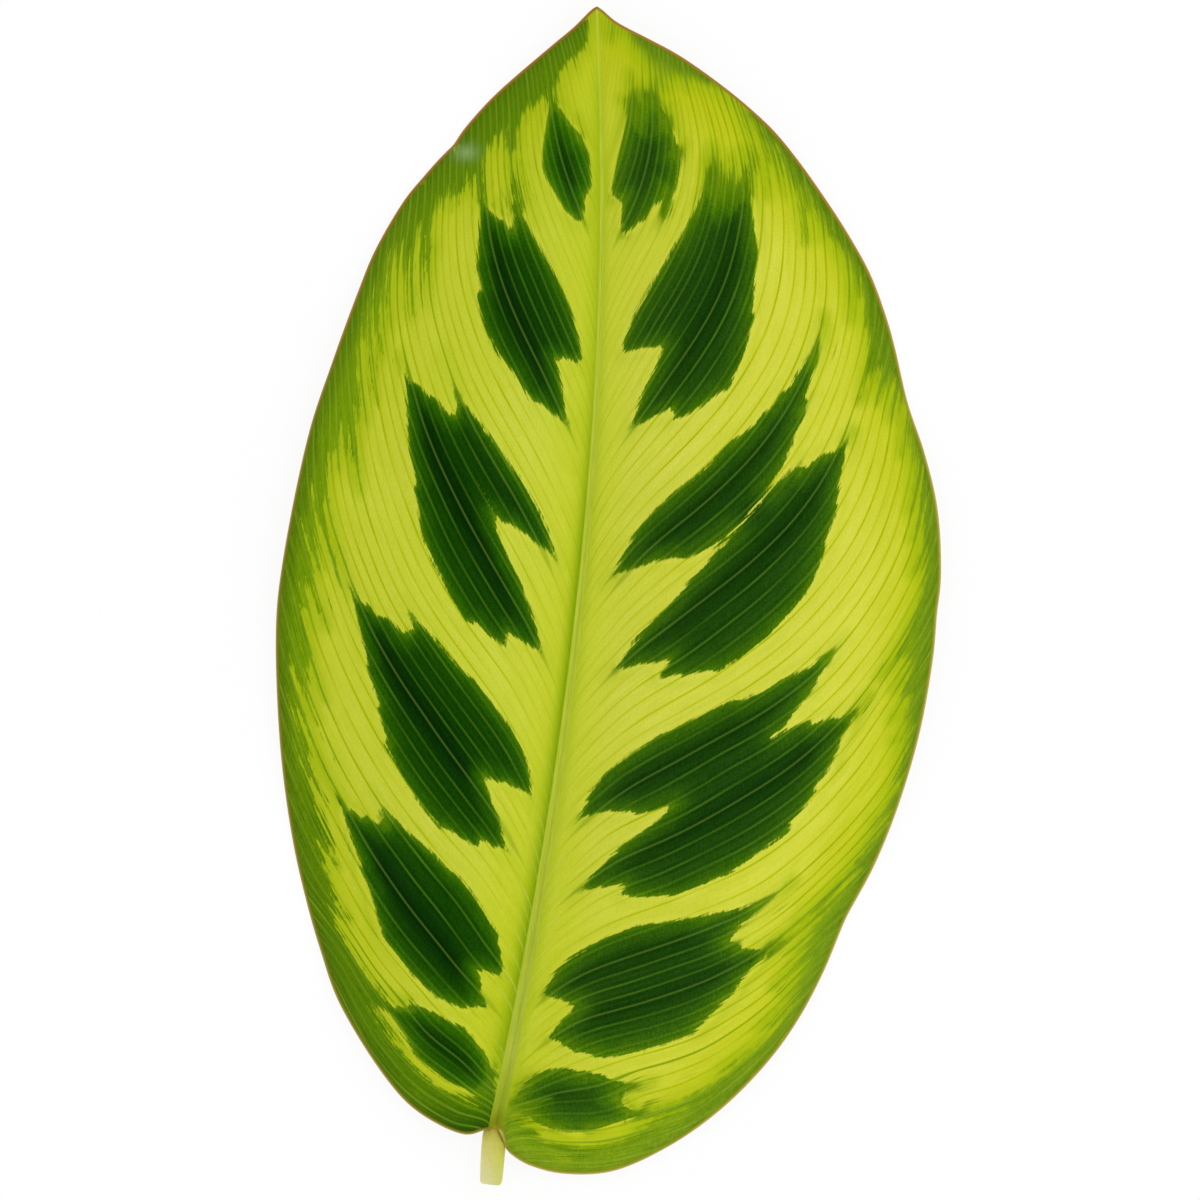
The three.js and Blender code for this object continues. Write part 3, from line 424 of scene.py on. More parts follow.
# Outlines of everything that is green: blotches, margin band and streaks.
GREENS = [
    [
        (-3.49, 63.71), (-9.48, 58.94), (-14.25, 54.42), (-17.14, 50.81), (-17.14, 50.45), (-16.25, 49.61),
        (-17.47, 49.41), (-17.92, 49.67), (-18.61, 49.17), (-20.59, 46.73), (-20.41, 46.28), (-20.58, 45.89),
        (-20.91, 45.7), (-21.47, 45.83), (-22.02, 45.17), (-21.88, 44.73), (-22.36, 44.74), (-23.02, 44.02),
        (-25.38, 40.4), (-28.15, 34.07), (-33.67, 18.31), (-35.9, 8.99), (-37.13, 0.22), (-37.44, -4),
        (-37.41, -10.22), (-36.67, -19.76), (-35.78, -26.09), (-34.57, -31.97), (-31.89, -41.18),
        (-29.02, -48.08), (-27.06, -51.29), (-24.91, -54.1), (-22.29, -56.72), (-20.8, -57.86),
        (-17.9, -59.61), (-15.92, -60.24), (-15.51, -60.17), (-15.36, -59.07), (-13.92, -58.94),
        (-12.08, -58.06), (-12.4, -56.84), (-12.39, -55.5), (-12.78, -55.28), (-12.49, -52.95),
        (-13.03, -52.42), (-13.78, -50.4), (-16.03, -47.81), (-22.02, -44.88), (-22.25, -45.66),
        (-24.02, -45.43), (-26.73, -42.74), (-29.27, -38.96), (-30.36, -36.74), (-30.93, -34.64),
        (-31.01, -33.67), (-30.68, -33.89), (-30.58, -33.64), (-31.87, -30.08), (-31.79, -29.2),
        (-32.25, -27.86), (-32.12, -27.29), (-31.35, -27.89), (-31.24, -27.6), (-32.48, -24.09),
        (-33.12, -19.88), (-33.58, -19.54), (-33.57, -18.93), (-33.9, -18.82), (-34.12, -18.26),
        (-34.01, -17.95), (-33.61, -18.32), (-33.57, -17.76), (-34.83, -14.66), (-35.46, -10.33),
        (-34.66, -11.33), (-35, -9.22), (-34.9, -8.2), (-34.44, -8.55), (-33.9, -9.78), (-34.57, -5.39),
        (-34.2, -5.66), (-33.57, -7.33), (-33.12, -7.74), (-33.05, -7.55), (-33.91, -4), (-34.07, -1.67),
        (-34.01, -1.38), (-33.64, -1.22), (-33.85, 0.55), (-33.68, 1.36), (-33.46, 1.62), (-33.01, 1.57),
        (-32.89, 1.88), (-33.22, 5.32), (-32.95, 6.66), (-33.08, 8.77), (-32.57, 8.98), (-32.38, 9.99),
        (-32.53, 12.1), (-32.35, 12.32), (-32.12, 12.15), (-32.09, 11.1), (-31.46, 9.54), (-31.29, 15.43),
        (-30.79, 16.41), (-30.33, 16.42), (-30.02, 17.89), (-29.54, 18.09), (-29.35, 18.64), (-28.41, 14.76),
        (-28.13, 14.49), (-28, 14.65), (-27.97, 20.98), (-27.8, 21.21), (-27.35, 21.06), (-27.31, 21.31),
        (-27.61, 22.42), (-27.53, 23.75), (-27.97, 24.31), (-27.78, 25.86), (-28, 27.41), (-27.23, 32.08),
        (-26.57, 32.8), (-26.14, 32.41), (-25.72, 32.52), (-25.91, 32.98), (-26.46, 33.05), (-26.58, 33.3),
        (-26.35, 33.56), (-26.02, 33.34), (-25.65, 33.74), (-24.24, 38.72), (-23.91, 38.93), (-23.36, 38.31),
        (-22.69, 39.33), (-22.25, 37.64), (-21.14, 40.8), (-20.69, 41.29), (-20.43, 40.29), (-20.53, 37.29),
        (-20.14, 35.96), (-19.96, 37.29), (-20.08, 40.18), (-19, 44.29), (-18.69, 44.45), (-18.25, 44.27),
        (-17.47, 45.5), (-17.18, 44.62), (-16.92, 44.58), (-15.03, 46.52), (-14.81, 46.62), (-14.62, 46.39),
        (-14.23, 42.73), (-14.61, 36.74), (-14.18, 33.96), (-14.57, 32.85), (-13.8, 29.74), (-12.39, 26.97),
        (-10.45, 24.64), (-8.59, 21.58), (-7.59, 21.34), (-5.04, 19.22), (-4.62, 19.2), (-5.23, 23.97),
        (-5.8, 26.08), (-4.93, 26.42), (-3.49, 25.9), (-2.92, 25.97), (-3.09, 28.08), (-3.98, 31.41),
        (-6.08, 35.96), (-9.43, 42.07), (-9.5, 42.73), (-10.32, 44.06), (-10.24, 44.84), (-10.48, 45.62),
        (-10.59, 45.75), (-10.71, 45.51), (-10.73, 44.73), (-10.4, 44.06), (-10.7, 42.95), (-10.38, 42.07),
        (-10.92, 40.59), (-11.7, 41.74), (-12.37, 41.84), (-13.58, 43.18), (-14.02, 44.4), (-14.1, 47.06),
        (-13.98, 48.73), (-12.86, 51.06), (-12.26, 51.07), (-11.58, 51.94), (-11.15, 52.08), (-11.1, 49.95),
        (-10.81, 49.24), (-10.57, 49.84), (-10.53, 51.39), (-9.59, 53.79), (-8.7, 54.97), (-8.37, 54.45),
        (-7.7, 55.61), (-6.82, 56.32), (-6.54, 54.72), (-7.35, 49.28), (-7.3, 47.5), (-6.82, 46.21),
        (-4.93, 42.88), (-3.49, 41.54), (-2.82, 41.62), (-2.56, 43.95), (-1.82, 45.36), (-2.07, 48.95),
        (-3.04, 51.21), (-3.93, 51.98), (-6.18, 55.27), (-6.11, 56.5), (-5.52, 58.27), (-4.37, 59.8),
        (-3.6, 60.12), (-2.46, 61.71), (-2.49, 63.73), (-3.04, 63.46),
    ],
    [
        (3.06, 62.72), (2.84, 62.16), (3.09, 61.71), (5.06, 59.52), (5.84, 59.33), (6.84, 58.57),
        (8.17, 58.01), (9.61, 57.76), (11.17, 56.82), (11.83, 57.42), (11.35, 58.05), (8.28, 60.18),
        (4.67, 62.16),
    ],
    [
        (2.73, 55.97), (2.25, 54.83), (2.18, 53.61), (0.37, 45.62), (0.4, 44.37), (1.57, 43.51),
        (1.39, 40.4), (1.62, 39.99), (3.95, 41.65), (5.12, 43.29), (5.84, 43.83), (5.8, 42.18),
        (6.06, 41.82), (6.28, 41.95), (7.55, 45.17), (8.07, 47.95), (8.06, 49.48), (7.54, 50.17),
        (6.68, 53.05), (6.1, 53.72), (5.17, 55.73), (4.95, 55.92), (4.39, 55.73), (3.84, 55.9), (3.4, 54.84),
    ],
    [
        (16.05, 53.97), (15.54, 53.61), (15.59, 53.28), (16.37, 52.72), (17.6, 50.96), (18.99, 49.61),
        (20.6, 47.17), (20.93, 46.27), (22, 45.28), (23.04, 43.05), (23.93, 42.07), (24.68, 40.29),
        (26.82, 37.66), (27.73, 35.96), (28.57, 33.85), (28.92, 31.08), (28.99, 24.75), (29.92, 25.08),
        (30.7, 24.18), (31.15, 24.61), (31.87, 23.86), (32.37, 22.75), (33.14, 22.53), (33.05, 24.08),
        (31.52, 30.41), (30.17, 34.3), (28.94, 36.96), (26.39, 41.29), (21.82, 47.92), (19.38, 50.93),
        (18.4, 51.72), (18.05, 51.55), (17.73, 51.72), (17.94, 52.3), (17.38, 52.97), (17.05, 53.15),
        (16.44, 52.94), (16.54, 53.61),
    ],
    [
        (11.72, 48.29), (10.99, 47.28), (10.68, 45.51), (9.28, 42.12), (2.95, 31.41), (1.71, 28.41),
        (1.62, 26.92), (4.06, 27.51), (5.06, 27.43), (5.73, 27.75), (6.07, 27.41), (3.17, 20.86),
        (2.51, 18.66), (6.95, 20.74), (7.22, 20.64), (7.17, 19.48), (8.61, 19.9), (12.16, 22.41),
        (13.27, 22.95), (14.92, 26.19), (16.15, 30.85), (15.97, 31.85), (16.6, 37.51), (15.95, 42.62),
        (15.68, 47.17), (15.27, 47.63), (15.01, 45.84), (14.72, 45.5), (13.94, 45.7), (13.61, 46.6),
        (13.38, 45.62), (12.83, 44.97), (12.5, 46.47),
    ],
    [
        (23.26, 28.75), (22.31, 26.64), (20.66, 24.31), (20.37, 23.42), (18.82, 22.24), (18.05, 20.92),
        (17.27, 20.34), (16.25, 18.98), (13.5, 17.01), (11.18, 14.65), (5.28, 9.81), (3.57, 7.88),
        (2.3, 5.99), (0.57, 2.66), (0.51, 2.14), (5.17, 3.86), (7.5, 4.3), (8.5, 3.98), (12.6, 6.1),
        (10.29, 2.99), (3.44, -4.33), (0.64, -8.33), (3.62, -7.5), (4.95, -7.51), (6.61, -6.96),
        (6.75, -7.33), (5.5, -8.77), (5.5, -9.16), (7.72, -8.76), (8.39, -8.86), (11.17, -8.2),
        (12.05, -8.42), (14.61, -6.78), (17.35, -4.55), (20.57, -1.45), (21.97, 0.33), (23.92, 4.55),
        (24.12, 6.43), (25.38, 9.65), (25.35, 10.87), (26.49, 17.2), (24.49, 15.71), (23.71, 15.67),
        (21.71, 14.22), (21.04, 14.68), (18.09, 11.98), (17.83, 12.1), (19.34, 14.54), (21.82, 20.11),
        (22.08, 21.31), (21.9, 22.09), (23.2, 25.97), (23.43, 27.97),
    ],
    [
        (-22.58, 24.9), (-22.08, 16.31), (-21.24, 12.76), (-21.63, 11.65), (-20.83, 8.65), (-20.84, 7.21),
        (-19.38, 3.55), (-15.81, -2.77), (-14.39, -3.22), (-13.48, -4.18), (-12.59, -4.63), (-11.48, -5.63),
        (-11.2, -5.44), (-11.32, -4.22), (-11.03, -3.98), (-9.7, -5.06), (-7.37, -6.25), (-8.06, -3),
        (-9.77, 1.66), (-11.02, 3.99), (-12.34, 7.32), (-12.65, 8.65), (-12.48, 8.85), (-11.59, 8.05),
        (-10.59, 7.9), (-7.05, 5.21), (-5.82, 3.98), (-6.11, 5.55), (-7.52, 9.21), (-9.66, 12.87),
        (-13.05, 17.76), (-13.58, 18.2), (-13.84, 18.87), (-14.96, 19.98), (-16.81, 22.98), (-17, 22.86),
        (-16.59, 20.64), (-17.47, 19.89), (-19.19, 21.97), (-20.01, 22.2), (-20.91, 23.31), (-21.77, 23.75),
    ],
    [
        (34.25, 18.78), (33.81, 18.58), (33.73, 18.09), (34.6, 14.09), (34.77, 11.21), (35.05, 10.32),
        (35, 6.1), (35.44, 4.88), (35.44, 4.1), (35.3, 2.33), (34.54, -0.78), (33.08, -4.44), (32.01, -6.33),
        (32.42, -6.33), (33.7, -4.02), (33.94, -4.22), (33.39, -6.77), (33.7, -7.22), (33, -10.33),
        (33.03, -10.91), (33.47, -11.1), (33.62, -11.88), (33.32, -13.43), (33.62, -13.99), (33.62, -15.99),
        (33.46, -17.43), (32.92, -18.67), (32.48, -20.78), (33.25, -20.8), (33.59, -20.22), (35.41, -13.43),
        (36.42, -7.77), (37.41, 2.77), (37.41, 5.77), (36.74, 11.32), (35.25, 16.71), (34.59, 18.52),
    ],
    [
        (-28.57, 0.98), (-26.76, -7.22), (-26.83, -8.11), (-25.35, -11.81), (-25.56, -12.77),
        (-24.57, -15.77), (-24.8, -16.43), (-24.11, -17.76), (-21.52, -21.98), (-18.69, -25.72),
        (-17.47, -25.96), (-16.7, -26.72), (-15.81, -27.03), (-14.59, -27.91), (-14.03, -26.95),
        (-12.7, -27.79), (-11.37, -28.2), (-11.7, -25.87), (-13.78, -20.32), (-13.48, -19.95),
        (-12.48, -20.59), (-11.59, -20.56), (-8.52, -22.09), (-8.49, -20.87), (-9.11, -17.99),
        (-10.56, -14.88), (-14.95, -9.22), (-16.36, -7.97), (-21.91, -1.74), (-22.09, -1.89),
        (-21.58, -3.57), (-22.39, -4.11), (-22.91, -4.05), (-24.35, -2.46), (-25.58, -2.07), (-26.35, -1.13),
        (-27.24, -0.74),
    ],
    [
        (25.26, -5.65), (23.26, -6.88), (22.38, -7.77), (18.82, -9.4), (18.16, -9.93), (14.72, -11.51),
        (13.72, -11.44), (5.17, -15.7), (2.06, -17.71), (-0.19, -19.54), (-1.96, -21.65), (-3.26, -24.59),
        (-0.38, -23.87), (0.84, -24.01), (2.51, -23.82), (3.17, -24.19), (6.5, -23.33), (6.82, -23.42),
        (6, -24.31), (3.07, -26.42), (0.11, -28.97), (-2.09, -31.08), (-3.04, -32.57), (1.51, -32),
        (1.89, -32.19), (1.38, -32.97), (1.51, -33.13), (7.5, -33.19), (13.39, -30.68), (19.63, -26.31),
        (20.11, -25.76), (20.34, -24.98), (22.64, -22.2), (23.04, -20.88), (24.77, -18.65), (25.29, -16.88),
        (27.63, -12.66), (27.48, -12.43), (26.37, -13.16), (25.37, -13.51), (24.71, -13.43), (23.26, -14.02),
        (22.6, -14.04), (22.15, -13.61), (19.93, -14.65), (19.57, -14.54), (19.7, -14.1), (22.88, -10.1),
        (23.15, -9.11), (24.43, -7.44),
    ],
    [
        (-30.02, -22.39), (-27.57, -29.09), (-27.3, -30.86), (-26.55, -32.42), (-25.19, -37.3),
        (-24.78, -38.08), (-21.79, -41.85), (-19.03, -44.49), (-16.36, -45.69), (-14.7, -45.5),
        (-13.7, -45.69), (-13.59, -45.29), (-14.48, -41.56), (-13.25, -41.57), (-11.92, -42.03),
        (-11.57, -41.3), (-12.33, -37.52), (-14.92, -33), (-16.58, -31), (-17.44, -30.53), (-19.36, -28.42),
        (-22.97, -25.53), (-24.8, -23.57), (-25.11, -23.65), (-24.82, -24.65), (-25.21, -24.87),
        (-25.35, -25.46), (-26.69, -24.3), (-27.35, -24.66), (-28.02, -24), (-28.91, -23.68),
    ],
    [
        (31.81, -22.36), (31.48, -22.73), (31.52, -23.31), (31, -24.65), (31.15, -24.94), (31.81, -25.18),
        (32.6, -22.87),
    ],
    [
        (30.92, -25.39), (27.45, -29.64), (26.88, -30.75), (27.83, -30.2), (26.95, -31.75), (26.15, -32.78),
        (25.6, -33.13), (23.3, -36.52), (22.99, -37.19), (23.07, -37.97), (21.36, -40.52), (22.27, -40.1),
        (22.61, -40.41), (22.1, -41.96), (21.34, -42.85), (21.2, -44.96), (20.37, -46.51), (18.16, -49.11),
        (13.83, -52.69), (10.61, -54.84), (7.17, -56.45), (4.28, -57.19), (3.06, -57.16), (1.64, -56.28),
        (1.51, -55.21), (2.99, -54.39), (3.12, -54.06), (0.95, -53.75), (-0.84, -52.95), (-5.04, -52.25),
        (-6.48, -52.38), (-8.15, -52.99), (-8.81, -53.4), (-9.85, -54.62), (-10.53, -56.17),
        (-10.24, -56.72), (-8.04, -58.41), (-6.48, -59.11), (-2.49, -59.53), (2.95, -57.79), (7.17, -57.19),
        (7.5, -56.81), (8.17, -56.81), (8.61, -56.45), (8.91, -56.84), (7.17, -57.93), (4.72, -58.83),
        (4.48, -59.06), (4.73, -59.26), (4.62, -59.46), (3.84, -59.53), (3.4, -60.09), (2.73, -60.41),
        (-2.82, -61.55), (-6.93, -60.76), (-7.73, -60.28), (-9.26, -58.6), (-10.37, -58.11), (-10.6, -58.5),
        (-11.48, -58.72), (-10.63, -59.06), (-10.48, -61.01), (-9.49, -61.28), (-9.94, -61.72),
        (-10.28, -62.61), (-9.7, -63.05), (-9.37, -62.92), (-9.26, -63.27), (-8.45, -63.72), (-5.26, -64.52),
        (-1.93, -64.64), (0.4, -64.31), (3.7, -63.27), (6.17, -62.05), (10.83, -58.72), (10.94, -58.01),
        (11.5, -58.17), (13.16, -56.82), (16.06, -53.84), (16.16, -53.06), (16.94, -52.95), (17.74, -52.06),
        (17.66, -51.29), (18.27, -51.37), (18.77, -50.84), (19.05, -50.4), (18.79, -49.73), (19.82, -48.24),
        (20.93, -47.73), (20.98, -46.73), (21.56, -46.62), (21.28, -46.18), (22.04, -46), (23.26, -43.97),
        (26.45, -36.52), (30.92, -27.75), (31.62, -25.76),
    ],
    [
        (25.6, -32.17), (22.6, -35.33), (24.89, -33.53),
    ],
    [
        (18.38, -32.97), (16.27, -33.94), (13.72, -34.74), (2.95, -36.56), (0.18, -37.46), (-4.26, -39.94),
        (-6.12, -41.85), (-7.23, -43.96), (-7.04, -44.23), (-5.04, -44.8), (-3.79, -45.51), (-6.83, -48.95),
        (-5.35, -49.4), (-4.93, -49.86), (-3.71, -50.45), (-0.71, -51.14), (3.84, -50.51), (9.39, -48.4),
        (14.11, -43.74), (14.53, -42.85), (16.27, -40.85), (19.45, -38.19), (19.38, -37.95), (17.38, -38.99),
        (16.49, -39.19), (14.72, -39.02), (14.61, -38.29), (13.72, -38.37), (13.43, -38.19), (14.27, -36.99),
        (18.51, -33.19), (18.61, -32.97),
    ],
]

# Lime islands inside the green outlines.
ISLANDS = [
    [
        (-25.91, -45.4), (-25.24, -45.62), (-24.13, -46.55), (-21.95, -49.84), (-21.64, -50.73),
        (-20.8, -51.59), (-18.03, -53.89), (-16.09, -54.5), (-14.51, -55.5), (-17.36, -55.44),
        (-19.58, -54.35), (-20.9, -53.28), (-25.02, -48.65), (-25.13, -48.25), (-24.61, -48.07),
        (-25.74, -46.29),
    ],
    [
        (-8.68, -61.05), (-7.59, -61.26), (-6.37, -61.1), (-4.26, -61.85), (-4.12, -62.27), (-5.04, -62.36),
        (-7.26, -61.54), (-8.04, -61.66),
    ],
]

# Outer outlines of the soft border round the green.
BORDERS = [
    [
        (0.18, 64.61), (-0.28, 64.04), (0.11, 62.16), (0.51, 61.77), (0.84, 62.4), (1.88, 61.82),
        (3.29, 60.05), (4.5, 57.61), (4.28, 56.38), (3.51, 57.17), (3.06, 56.65), (2.83, 57.61),
        (2.4, 57.85), (2.28, 55.61), (1.51, 55.1), (1.95, 53.84), (0.24, 45.51), (0.31, 43.84),
        (1.36, 43.18), (1.18, 39.31), (2.17, 39.41), (5.39, 43.12), (5.09, 41.18), (5.28, 40.4),
        (5.62, 40.48), (6.86, 42.62), (7.78, 45.28), (8.35, 49.95), (7.61, 50.7), (6.73, 54.48),
        (6.17, 54.34), (5.64, 55.5), (5.84, 56.42), (6.5, 55.75), (6.75, 56.94), (7.84, 57.03), (8.5, 56.6),
        (9.61, 56.9), (12.72, 55.39), (14.24, 53.83), (15.95, 50.39), (14.93, 49.61), (14.61, 46.59),
        (13.72, 48.85), (13.36, 48.61), (13.05, 47.02), (12.72, 48.14), (12.28, 48.4), (12.04, 49.28),
        (11.5, 49.79), (10.64, 48.06), (10.41, 45.62), (9.08, 42.4), (8.5, 41.83), (7.51, 39.51),
        (2.66, 31.41), (1.08, 26.53), (4.06, 27.31), (5.86, 27.3), (1.77, 17.87), (3.73, 19.1),
        (6.73, 20.39), (6.84, 19.19), (8.61, 19.69), (12, 22.09), (12.94, 22.3), (13.59, 23.08),
        (15.08, 26.08), (16.34, 30.85), (16.97, 38.96), (16.51, 39.85), (16.13, 42.62), (16.15, 47.06),
        (16.49, 46.52), (16.72, 47.11), (16.94, 46.96), (17.49, 44.39), (17.85, 46.62), (18.27, 47.26),
        (19.49, 44.6), (19.21, 46.39), (19.49, 46.8), (20.38, 44.93), (21.04, 44.28), (21.93, 39.67),
        (22.11, 42.4), (22.38, 42.63), (23.71, 39.71), (24.6, 39.46), (26.04, 36.96), (26.62, 35.29),
        (27.04, 30.63), (27.39, 31.41), (27.37, 32.66), (27.7, 32.95), (27.92, 32.74), (28.77, 28.75),
        (28.24, 21.86), (29.15, 23.15), (29.8, 22.53), (30.04, 21.61), (30.81, 22.49), (31.37, 19.66),
        (31.71, 19.75), (31.92, 20.56), (32.14, 20.39), (32.51, 18.53), (32.48, 15.98), (32.59, 15.63),
        (33.03, 15.82), (33.66, 13.65), (33.41, 9.43), (33.59, 9.03), (34.03, 9.47), (34.19, 9.32),
        (33.75, 6.21), (34.03, 6.21), (34.36, 7.13), (34.55, 6.88), (33.72, 2.44), (34.59, 2.64),
        (34.63, 0.77), (32.71, -4.44), (30.25, -9.11), (32.14, -7.13), (32.59, -7.04), (32.88, -7.44),
        (31.54, -10.44), (32.26, -10.26), (32.4, -10.77), (32.26, -11.95), (31.39, -13.88), (32.26, -13.63),
        (32.51, -14.1), (31.64, -16.21), (32.14, -16.29), (32.26, -16.65), (31.7, -20.21), (30.55, -23.09),
        (29.28, -24.87), (29.26, -25.85), (28.37, -27.44), (26.48, -30.29), (23.87, -33.41), (20.05, -37.05),
        (16.94, -38.85), (16.16, -38.6), (15.16, -38.79), (14.95, -38.63), (15.16, -37.86), (13.82, -37.85),
        (16.65, -35.52), (20.27, -31.61), (16.16, -33.73), (13.83, -34.5), (6.61, -35.78), (4.95, -35.8),
        (0.18, -37.22), (-4.71, -40.02), (-6.32, -41.74), (-8.2, -44.96), (-6.37, -44.66), (-5.15, -45.06),
        (-4.37, -45.74), (-7.58, -49.29), (-6.04, -49.48), (-5.37, -50.1), (-1.04, -51.36), (3.95, -50.72),
        (9.84, -48.4), (14.67, -43.52), (14.83, -42.89), (16.38, -41.05), (22.49, -36.09), (20.41, -39.41),
        (20.82, -39.61), (21.73, -39.19), (18.3, -43.29), (20.67, -42.29), (19.22, -44.18), (19.4, -45.07),
        (16.71, -48.18), (18.13, -47.73), (17.54, -48.62), (12.63, -52.51), (12.4, -53.28), (11.41, -54.06),
        (8.72, -55.55), (5.28, -56.72), (3.17, -56.93), (2.14, -56.28), (2.3, -55.84), (1.94, -55.39),
        (4.84, -53.64), (1.06, -53.59), (-0.49, -52.83), (-4.93, -52.02), (-6.71, -52.19), (-8.81, -53.03),
        (-9.7, -54.02), (-10.37, -54.26), (-10.7, -55.34), (-12.66, -55.28), (-10.48, -43.52),
        (-10.59, -43.03), (-10.92, -43.26), (-11.1, -42.96), (-11.51, -39.41), (-12.18, -37.3),
        (-14.77, -32.86), (-16.47, -30.82), (-23.91, -24.31), (-26.02, -21.69), (-26.35, -21.55),
        (-26.37, -21.87), (-25.73, -22.65), (-25.5, -23.65), (-25.8, -24.66), (-27.13, -23.59),
        (-28.91, -23.39), (-30.36, -21.32), (-33.36, -14.43), (-33.35, -12.74), (-32.41, -13.88),
        (-33.29, -9.99), (-32.79, -9.63), (-31.56, -11.44), (-32.65, -7.66), (-32.75, -5.55), (-33.37, -4),
        (-33.23, -3.61), (-32.98, -4.11), (-32.79, -4), (-33.31, 0.55), (-32.68, -0.23), (-31.4, -3.33),
        (-32.49, 1.11), (-32.18, 3.33), (-32.42, 4.21), (-32.23, 4.33), (-31.64, 3.1), (-31.81, 6.55),
        (-31.35, 7.14), (-31.01, 6.92), (-27.91, -2.37), (-27.04, -8), (-25.8, -10.99), (-25.86, -12.44),
        (-25.13, -14.88), (-25.21, -15.99), (-24.52, -17.43), (-21.63, -22.09), (-18.58, -26.19),
        (-17.47, -26.2), (-14.36, -28.26), (-14.05, -27.31), (-13.81, -27.3), (-10.66, -29.2),
        (-11.5, -25.76), (-13.47, -20.54), (-13.25, -20.34), (-12.37, -20.92), (-11.59, -20.8),
        (-10.76, -21.2), (-9.09, -22.2), (-7.93, -23.66), (-8.26, -20.76), (-9.18, -17.1), (-12.08, -12.44),
        (-14.92, -8.95), (-20.8, -2.83), (-22.25, -0.68), (-22.58, -0.45), (-22.71, -0.89), (-22.5, -2.22),
        (-21.93, -3.11), (-22.55, -3.22), (-22.53, -3.78), (-22.8, -3.91), (-24.35, -2.14), (-25.47, -1.89),
        (-26.35, -0.82), (-27.68, 0.03), (-29.4, 3.1), (-30.27, 5.99), (-31.05, 10.32), (-31.04, 12.98),
        (-30.69, 13.32), (-30.79, 15.3), (-30.13, 14.06), (-29.68, 15.85), (-28.9, 15.43), (-28.84, 14.65),
        (-27.35, 11.57), (-27.83, 16.2), (-27.69, 18.98), (-27.13, 19.16), (-27.01, 19.53), (-27.35, 27.68),
        (-27.24, 27.94), (-27.01, 27.75), (-26.72, 24.19), (-25.91, 21.81), (-26.05, 25.42), (-25.54, 25.86),
        (-25.46, 26.83), (-24.88, 26.97), (-24.82, 28.75), (-23.93, 31.3), (-24.02, 31.59), (-24.47, 31.3),
        (-24.63, 31.85), (-24.02, 32.1), (-23.69, 35.14), (-23.47, 35.39), (-23.13, 34.95), (-22.91, 35.29),
        (-22.55, 34.74), (-22.45, 32.74), (-21.8, 31.02), (-21.91, 35.8), (-21.34, 36.52), (-21.83, 37.4),
        (-21.27, 37.85), (-21.21, 39.07), (-20.91, 39.41), (-20.49, 33.52), (-19.99, 32.08), (-19.52, 31.63),
        (-19.69, 36.74), (-19.18, 38.85), (-19.75, 40.18), (-19.43, 42.07), (-19, 42.95), (-18.36, 42.98),
        (-17.92, 43.81), (-17.14, 43.5), (-16.25, 44.89), (-15.7, 44.62), (-15.14, 45.37), (-14.65, 44.95),
        (-14.41, 42.62), (-14.8, 37.18), (-14.4, 34.07), (-14.74, 32.96), (-13.96, 29.74), (-12.43, 26.75),
        (-10.7, 24.75), (-8.7, 21.41), (-8.04, 20.74), (-7.48, 20.99), (-6.71, 20.06), (-4.75, 18.64),
        (-3.82, 17.46), (-5.26, 25.44), (-4.82, 26.04), (-2.49, 24.93), (-2.97, 29.08), (-4.3, 32.74),
        (-8.04, 40.06), (-7.83, 40.62), (-8.15, 41.83), (-8.37, 42.15), (-8.59, 41.61), (-8.98, 42.18),
        (-9.04, 42.85), (-8.59, 42.79), (-8.51, 43.51), (-9.59, 46.98), (-9.59, 47.89), (-10.44, 49.06),
        (-9.81, 49.4), (-9.75, 51.72), (-9.15, 53.35), (-8.81, 53.79), (-8.37, 53.71), (-7.04, 55.39),
        (-6.83, 54.61), (-7.35, 51.61), (-7.51, 47.5), (-4.93, 42.45), (-3.49, 41.16), (-2.42, 41.18),
        (-2.36, 43.62), (-1.75, 45.28), (-1.93, 49.35), (-3.49, 53.17), (-3.76, 53.17), (-3.82, 52.66),
        (-4.37, 53.11), (-5.82, 56.16), (-5.37, 57.75), (-4.82, 58.09), (-4.26, 59.31), (-3.71, 58.7),
        (-3.15, 59.99), (-2.27, 60.42), (-2.21, 63.16), (-2.37, 64.27), (-2.82, 64.54), (-11.92, 56.84),
        (-16.04, 52.5), (-17.52, 50.28), (-21.58, 45.92), (-24.58, 41.93), (-27.46, 36.06), (-33.03, 20.64),
        (-35.35, 11.87), (-36.61, 4.88), (-37.38, -2), (-37.48, -10.22), (-36.72, -19.76), (-35.49, -27.86),
        (-33.47, -36.3), (-30.58, -44.85), (-27.8, -50.29), (-24.93, -54.17), (-20.8, -57.95),
        (-16.92, -60.06), (-15.5, -60.28), (-15.25, -59.1), (-10.81, -59.08), (-10.69, -62.39),
        (-10.45, -62.72), (-7.53, -64.16), (-4.37, -64.73), (-0.93, -64.62), (2.11, -63.94), (4.95, -62.8),
        (8.17, -60.91), (13.15, -56.95), (17.16, -52.92), (21.77, -46.73), (24.04, -42.62), (26.53, -36.52),
        (30.35, -29.31), (33.7, -20.22), (36.17, -9.99), (37.49, 2.77), (37.27, 8.1), (36.25, 13.71),
        (33.93, 20.64), (31.15, 31.85), (29.47, 36.07), (27.37, 39.85), (22.57, 47.06), (17.47, 53.05),
        (9.28, 59.6),
    ],
    [
        (23.82, 31.04), (22.15, 26.92), (21.38, 26.18), (20.93, 24.98), (20.25, 24.42), (20.17, 23.53),
        (19.38, 23.39), (16.11, 19.09), (13.87, 17.76), (11.14, 14.87), (5.17, 9.97), (2, 5.88),
        (-0.49, 1.14), (3.84, 3.28), (7.39, 4.12), (8.5, 3.8), (11.97, 5.44), (9.72, 2.58), (2.62, -5),
